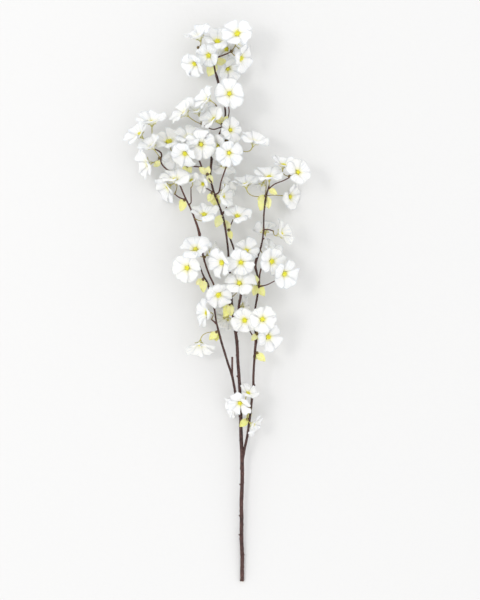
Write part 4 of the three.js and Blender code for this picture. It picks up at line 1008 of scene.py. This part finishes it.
# Moulded fine plastic threads and dusted tips: clear yellow, deeper at the anthers, nearly matt.
DUST_MM = 0.5
yellow, tree, shader = new_material("yellow_stamen_dust", {
    "Roughness": 0.7,
    "IOR": 1.46,
    "Specular IOR Level": 0.12,
    "Subsurface Weight": 0.9,
    "Subsurface Radius": (1.0, 0.95, 0.3),
    "Subsurface Scale": 1.6 * MM,
})
ripe = add_node(tree, "ShaderNodeAttribute", attribute_name="ripe")
place = add_node(tree, "ShaderNodeTexCoord")
dust = add_node(tree, "ShaderNodeTexNoise",
                {"Vector": (place, "Object"), "Scale": 1 / (DUST_MM * MM), "Detail": 2.0})
shades = add_node(tree, "ShaderNodeMix", {0: (dust, 0), 6: linear("#FFF448"), 7: linear("#FFF878")},
                  data_type="RGBA")
add_node(tree, "ShaderNodeMix", {0: (ripe, "Fac"), 6: (shades, 2), 7: linear("#FFEC20")},
         [(2, shader, "Base Color")], data_type="RGBA")
add_node(tree, "ShaderNodeBump", {"Height": (dust, 0), "Strength": 0.4, "Distance": 0.1 * MM},
         [(0, shader, "Normal")])

dome, dome_faces = tubes((DOME_UP[:, None] * UP)[None], EYE_RADIUS * DOME_ROUND[None], 12, NORTH)
for bunch in BUNCHES:
    eyes = Gathering()
    there, nodes = grown_in(bunch, "flowers")
    for flower in there:
        size = flower["scale"] * (0.86 + 0.2 * vary(flower["number"], 200))
        lines, sideways = stamen_lines(flower)
        radii = np.full((STAMENS, 1), FILAMENT_RADIUS) * FILAMENT_GIRTH
        points, faces = tubes(lines, radii, 3, sideways)
        eyes.add(set_on(flower, points, size), faces, ripe=0.0)
        tip, way = lines[:, -1], unit(lines[:, -1] - lines[:, -2])
        anthers = np.swapaxes(tip + way * (ANTHER_LENGTH * ANTHER_ROWS)[:, None, None], 0, 1)
        radii = np.full((STAMENS, 1), ANTHER_RADIUS) * ANTHER_GIRTH
        points, faces = tubes(anthers, radii, 5, sideways)
        eyes.add(set_on(flower, points, size), faces, ripe=0.5)
        eyes.add(set_on(flower, dome, size), dome_faces, ripe=0.0)
    eyes.make(f"stamens_{bunch}", yellow, "root", nodes)


# ---- The calyces and stalks ----------------------------------------------------------------------
# Each flower sits in a small green cup with five blunt sepals between its petals, on a thin stalk
# that bends up from its spur. The spur is a knob of overlapping brown bud scales.

STALK_ROWS = 9
STALK_SIDES = 6
STALK_RADIUS = 0.72
CUP_UP = np.array([-1.0, -0.93, -0.72, -0.42, -0.12, 0.03, 0.06])  # share of the calyx's depth
CUP_ROUND = np.array([0.75, 1.05, 1.7, 2.7, 3.5, 3.7, 2.6])
SEPAL_GRID = 5
SEPAL_MM = 0.6
SEPAL_FROM = 3.0  # from the flower's axis to a sepal's foot
SEPAL_LENGTH = 6.0
SEPAL_HALF_WIDTH = 2.1
KNOB_UP = np.array([-1.0, -0.8, -0.3, 0.4, 0.9, 1.2])
KNOB_ROUND = np.array([0.3, 0.7, 0.95, 0.9, 0.6, 0.2])
BUD_SCALES = 13
BUD_SCALE_MM = 0.5
EAST = np.array([1.0, 0.0, 0.0])


def across_any(along):
    """A unit vector square to another: its cross product with up, or with east if it points up."""
    return unit(np.cross(along, UP if abs(along[2]) < 0.8 else EAST))


def sepals(flower):
    """Five blunt leaflets on the cup's edge, between the petals: discs drawn to a rounded tip that
    lean out and back under the petals, hollow along the middle."""
    k = np.arange(PETALS)[:, None, None] + 0.5
    x, y = disc_grid(SEPAL_GRID)
    run = SEPAL_LENGTH * (y + 1) / 2 * (1 + 0.12 * vary(flower["number"], k + 30))
    out = SEPAL_FROM + run
    across = SEPAL_HALF_WIDTH * x * (1 - 0.35 * y)
    open_up = np.radians(90 - flower["spread"]) + 0.1
    up = -0.9 + run * np.tan(open_up) * 0.7 - 0.05 * run**2 + 0.5 * x**2
    a = 2 * np.pi * k / PETALS
    return np.stack([out * np.cos(a) - across * np.sin(a),
                     out * np.sin(a) + across * np.cos(a), up + 0 * a], -1)


def bud_scales(spur):
    """Small pointed scales round a knob, each turned from the last by the golden angle and set a
    little higher. Each is a disc wrapped on the knob's ball, narrower and further out to its tip."""
    count = np.arange(BUD_SCALES)[:, None, None]
    x, y = disc_grid(SEPAL_GRID)
    along = spur["aim"]
    side = across_any(along)
    other = np.cross(along, side)
    turn = np.radians(GOLDEN_ANGLE) * count + 0.55 * x * (1 - 0.4 * y)
    rise = np.radians(-25 + 6.5 * count + 34 * y)
    ball = KNOB_RADIUS * (0.92 + 0.1 * (y + 1) / 2)
    round_it = np.cos(turn)[..., None] * side + np.sin(turn)[..., None] * other
    ball = ball * (1 + 0.05 * vary(spur["root"][0], count))
    return spur["root"] + ball[..., None] * (
        np.cos(rise)[..., None] * round_it + np.sin(rise)[..., None] * along * 1.25)


# Young plant skin, moulded and tinted: yellow-green on the cups, browner down the stalks and dry
# brown on the scales, with a waxy half-gloss.
SPECK_MM = 1.6
stalk_skin, tree, shader = new_material("waxy_stalk_skin", {
    "Roughness": 0.5,
    "IOR": 1.46,
    "Specular IOR Level": 0.4,
    "Subsurface Weight": 0.15,
    "Subsurface Radius": (0.8, 1.0, 0.4),
    "Subsurface Scale": 1.0 * MM,
})
dry = add_node(tree, "ShaderNodeAttribute", attribute_name="dry")
place = add_node(tree, "ShaderNodeTexCoord")
speck = add_node(tree, "ShaderNodeTexNoise",
                 {"Vector": (place, "Object"), "Scale": 1 / (SPECK_MM * MM), "Detail": 3.0})
ramp = add_node(tree, "ShaderNodeValToRGB", {"Fac": (dry, "Fac")})
ramp.color_ramp.elements[0].color = linear("#D9D67C")
ramp.color_ramp.elements[1].color = linear("#4A332C")
ramp.color_ramp.elements.new(0.45).color = linear("#A79A5A")
mottled = add_node(tree, "ShaderNodeMapRange",
                   {"Value": (speck, 0), "From Min": 0.35, "From Max": 0.75, "To Max": 0.35})
add_node(tree, "ShaderNodeMix", {0: (mottled, 0), 6: (ramp, 0), 7: linear("#8A6B45")},
         [(2, shader, "Base Color")], data_type="RGBA")
add_node(tree, "ShaderNodeBump", {"Height": (speck, 0), "Strength": 0.4, "Distance": 0.15 * MM},
         [(0, shader, "Normal")])

# Ring by ring along a stalk: the share of it that is gone, its radius, which swells at the spur and
# a little at the cup, and how dry it is, which ends with the points that close the two ends.
stalk_share = np.linspace(0, 1, STALK_ROWS)
stalk_radii = STALK_RADIUS * (1 + 0.9 * np.exp(-stalk_share / 0.07) + 0.35 * stalk_share**4)
stalk_dry = np.concatenate([np.repeat(0.62 - 0.5 * stalk_share, STALK_SIDES), [0.62, 0.12]])
cup, cup_faces = tubes((CUP_UP[:, None] * CALYX_DEPTH * UP)[None], CUP_ROUND[None], 10, NORTH)
for bunch in BUNCHES:
    stalks = Gathering()
    for flower in grown_in(bunch, "flowers")[0]:
        line = stalk_points(flower, flower["throat"], stalk_share)
        bend = np.cross(line[-1] - line[0], flower["axis"])
        sideways = unit(bend) if np.linalg.norm(bend) > 1e-3 else EAST
        points, faces = tubes(line[None], stalk_radii[None], STALK_SIDES, sideways)
        stalks.add(points, faces, dry=stalk_dry)
        stalks.add(set_on(flower, cup, flower["scale"]), cup_faces, dry=0.1)
        points, faces, rim = blade(sepals(flower), SEPAL_MM, SEPAL_GRID)
        stalks.add(set_on(flower, points, flower["scale"]), faces, rim, dry=0.05)
    there = [spur for spur in spurs if spur["bunch"] == bunch and (spur["flowers"] or spur["has_knob"])]
    for spur in there:
        if not spur["has_knob"]:
            continue
        points, faces, rim = blade(bud_scales(spur), BUD_SCALE_MM, SEPAL_GRID)
        stalks.add(points, faces, rim, dry=0.85)
        ball = spur["root"] + spur["aim"] * KNOB_RADIUS * KNOB_UP[:, None]
        points, faces = tubes(ball[None], KNOB_RADIUS * KNOB_ROUND[None], 8, across_any(spur["aim"]))
        stalks.add(points, faces, dry=0.95)
    stalks.make(f"stalks_{bunch}", stalk_skin, "root", [spur["node"] for spur in there])


# ---- The leaves ----------------------------------------------------------------------------------
# Tufts of small young leaves, pale yellow-green, thin and soft: each narrow at both ends, folded a
# little along its rib, waved and finely toothed along its edges.

LEAF_GRID = 12
LEAF_MM = 0.4
LEAF_HALF_WIDTH = 0.33  # share of its length
LEAF_WAVE = 0.09  # share of the leaf's length that its edges rise and fall
LEAF_FOLD = 0.6  # share of that wave in which both sides of the leaf rise together
TEETH = 9
TOOTH_DEPTH = 0.1  # share of the half width
LEAF_RUFFLE = 0.045  # share of the leaf's length
RIB_FOLD = 0.05
SIDE_VEINS = 4.5  # on each side of the rib, in the leaf's length


def leaf_surface(leaf):
    """A leaf's blade: a disc drawn out along the leaf and to a point at its tip, its edges toothed
    by a saw of TEETH steps, waved up and down in turn, with a fold along the rib and a droop that
    grows with the square of the run."""
    i, length = leaf["number"], leaf["length"]
    along, across, up = leaf_axes(leaf["toward"], leaf["rise"])
    x, y = disc_grid(LEAF_GRID)
    s = (y + 1) / 2
    chord = np.sqrt(np.maximum(1 - y**2, 1e-4))
    u = x / chord
    body = np.sin(np.pi * s**0.85) ** 0.85 * (1 + 0.1 * vary(i, 1))
    tooth = 1 - TOOTH_DEPTH * ((TEETH * s) % 1) * np.abs(u) ** 3
    half = LEAF_HALF_WIDTH * length * body * tooth
    turns = (s - LEAF_ROWS[0]) / (LEAF_ROWS[-1] - LEAF_ROWS[0])
    wave = LEAF_WAVE * (LEAF_FOLD * u**2 - (1 - LEAF_FOLD) * u * np.cos(2 * np.pi * turns))
    ripple = np.sin(2 * np.pi * (5 * s + 0.25 * np.sign(u) + 0.5 * vary(i, 2)))
    ruffle = LEAF_RUFFLE * np.abs(u) ** 3 * ripple
    fold = RIB_FOLD * (np.abs(u) - 0.5)
    lift = length * (wave + ruffle + fold - LEAF_SAG * s**2)
    middle = leaf["root"] + along * (s * length)[..., None]
    return middle + across * (u * half)[..., None] + up * lift[..., None], s, u


# Young leaf, thin and soft: pale yellow-green with paler sunk veins, matt with a faint sheen, and
# bright where light comes through.
leaf_skin, tree, shader = new_material("young_leaf_blade", {
    "Roughness": 0.58,
    "IOR": 1.45,
    "Specular IOR Level": 0.3,
    "Sheen Weight": 0.1,
    "Subsurface Weight": 0.8,
    "Subsurface Radius": (0.9, 1.0, 0.4),
    "Subsurface Scale": 0.6 * MM,
})
run = add_node(tree, "ShaderNodeAttribute", attribute_name="run")
across = add_node(tree, "ShaderNodeAttribute", attribute_name="across")
tint = add_node(tree, "ShaderNodeAttribute", attribute_name="tint")
wide = add_node(tree, "ShaderNodeMath", {0: (across, "Fac")}, operation="ABSOLUTE")
slant = add_node(tree, "ShaderNodeMath", {0: (wide, 0), 1: -0.18, 2: (run, "Fac")},
                 operation="MULTIPLY_ADD")
comb = add_node(tree, "ShaderNodeMath", {0: (slant, 0), 1: 2 * SIDE_VEINS}, operation="MULTIPLY")
side_veins = add_node(tree, "ShaderNodeMath", {0: (comb, 0), 1: 1.0}, operation="PINGPONG")
vein = add_node(tree, "ShaderNodeMapRange", {"Value": (side_veins, 0), "From Min": 0.16, "From Max": 0.0})
rib = add_node(tree, "ShaderNodeMapRange", {"Value": (wide, 0), "From Min": 0.1, "From Max": 0.02})
lines = add_node(tree, "ShaderNodeMath", {0: (vein, 0), 1: (rib, 0)}, operation="MAXIMUM")
greens = add_node(tree, "ShaderNodeMix", {0: (tint, "Fac"), 6: linear("#F9F7C4"), 7: linear("#EEEC9C")},
                  data_type="RGBA")
pale = add_node(tree, "ShaderNodeMath", {0: (lines, 0), 1: 0.45}, operation="MULTIPLY")
add_node(tree, "ShaderNodeMix", {0: (pale, 0), 6: (greens, 2), 7: linear("#FAF9D6")},
         [(2, shader, "Base Color")], data_type="RGBA")
add_node(tree, "ShaderNodeBump", {"Height": (lines, 0), "Strength": 0.7, "Distance": 0.25 * MM},
         [(0, shader, "Normal")], invert=True)

for bunch in BUNCHES:
    leafage = Gathering()
    there, nodes = grown_in(bunch, "leaves")
    for leaf in there:
        surface, s, u = leaf_surface(leaf)
        points, faces, rim = blade(surface[None], LEAF_MM, LEAF_GRID)
        leafage.add(points, faces, rim, run=both_sides(s[None], LEAF_GRID),
                    across=both_sides(u[None], LEAF_GRID), tint=0.5 + 0.5 * vary(leaf["number"], 9))
    leafage.make(f"leaves_{bunch}", leaf_skin, "root", nodes)
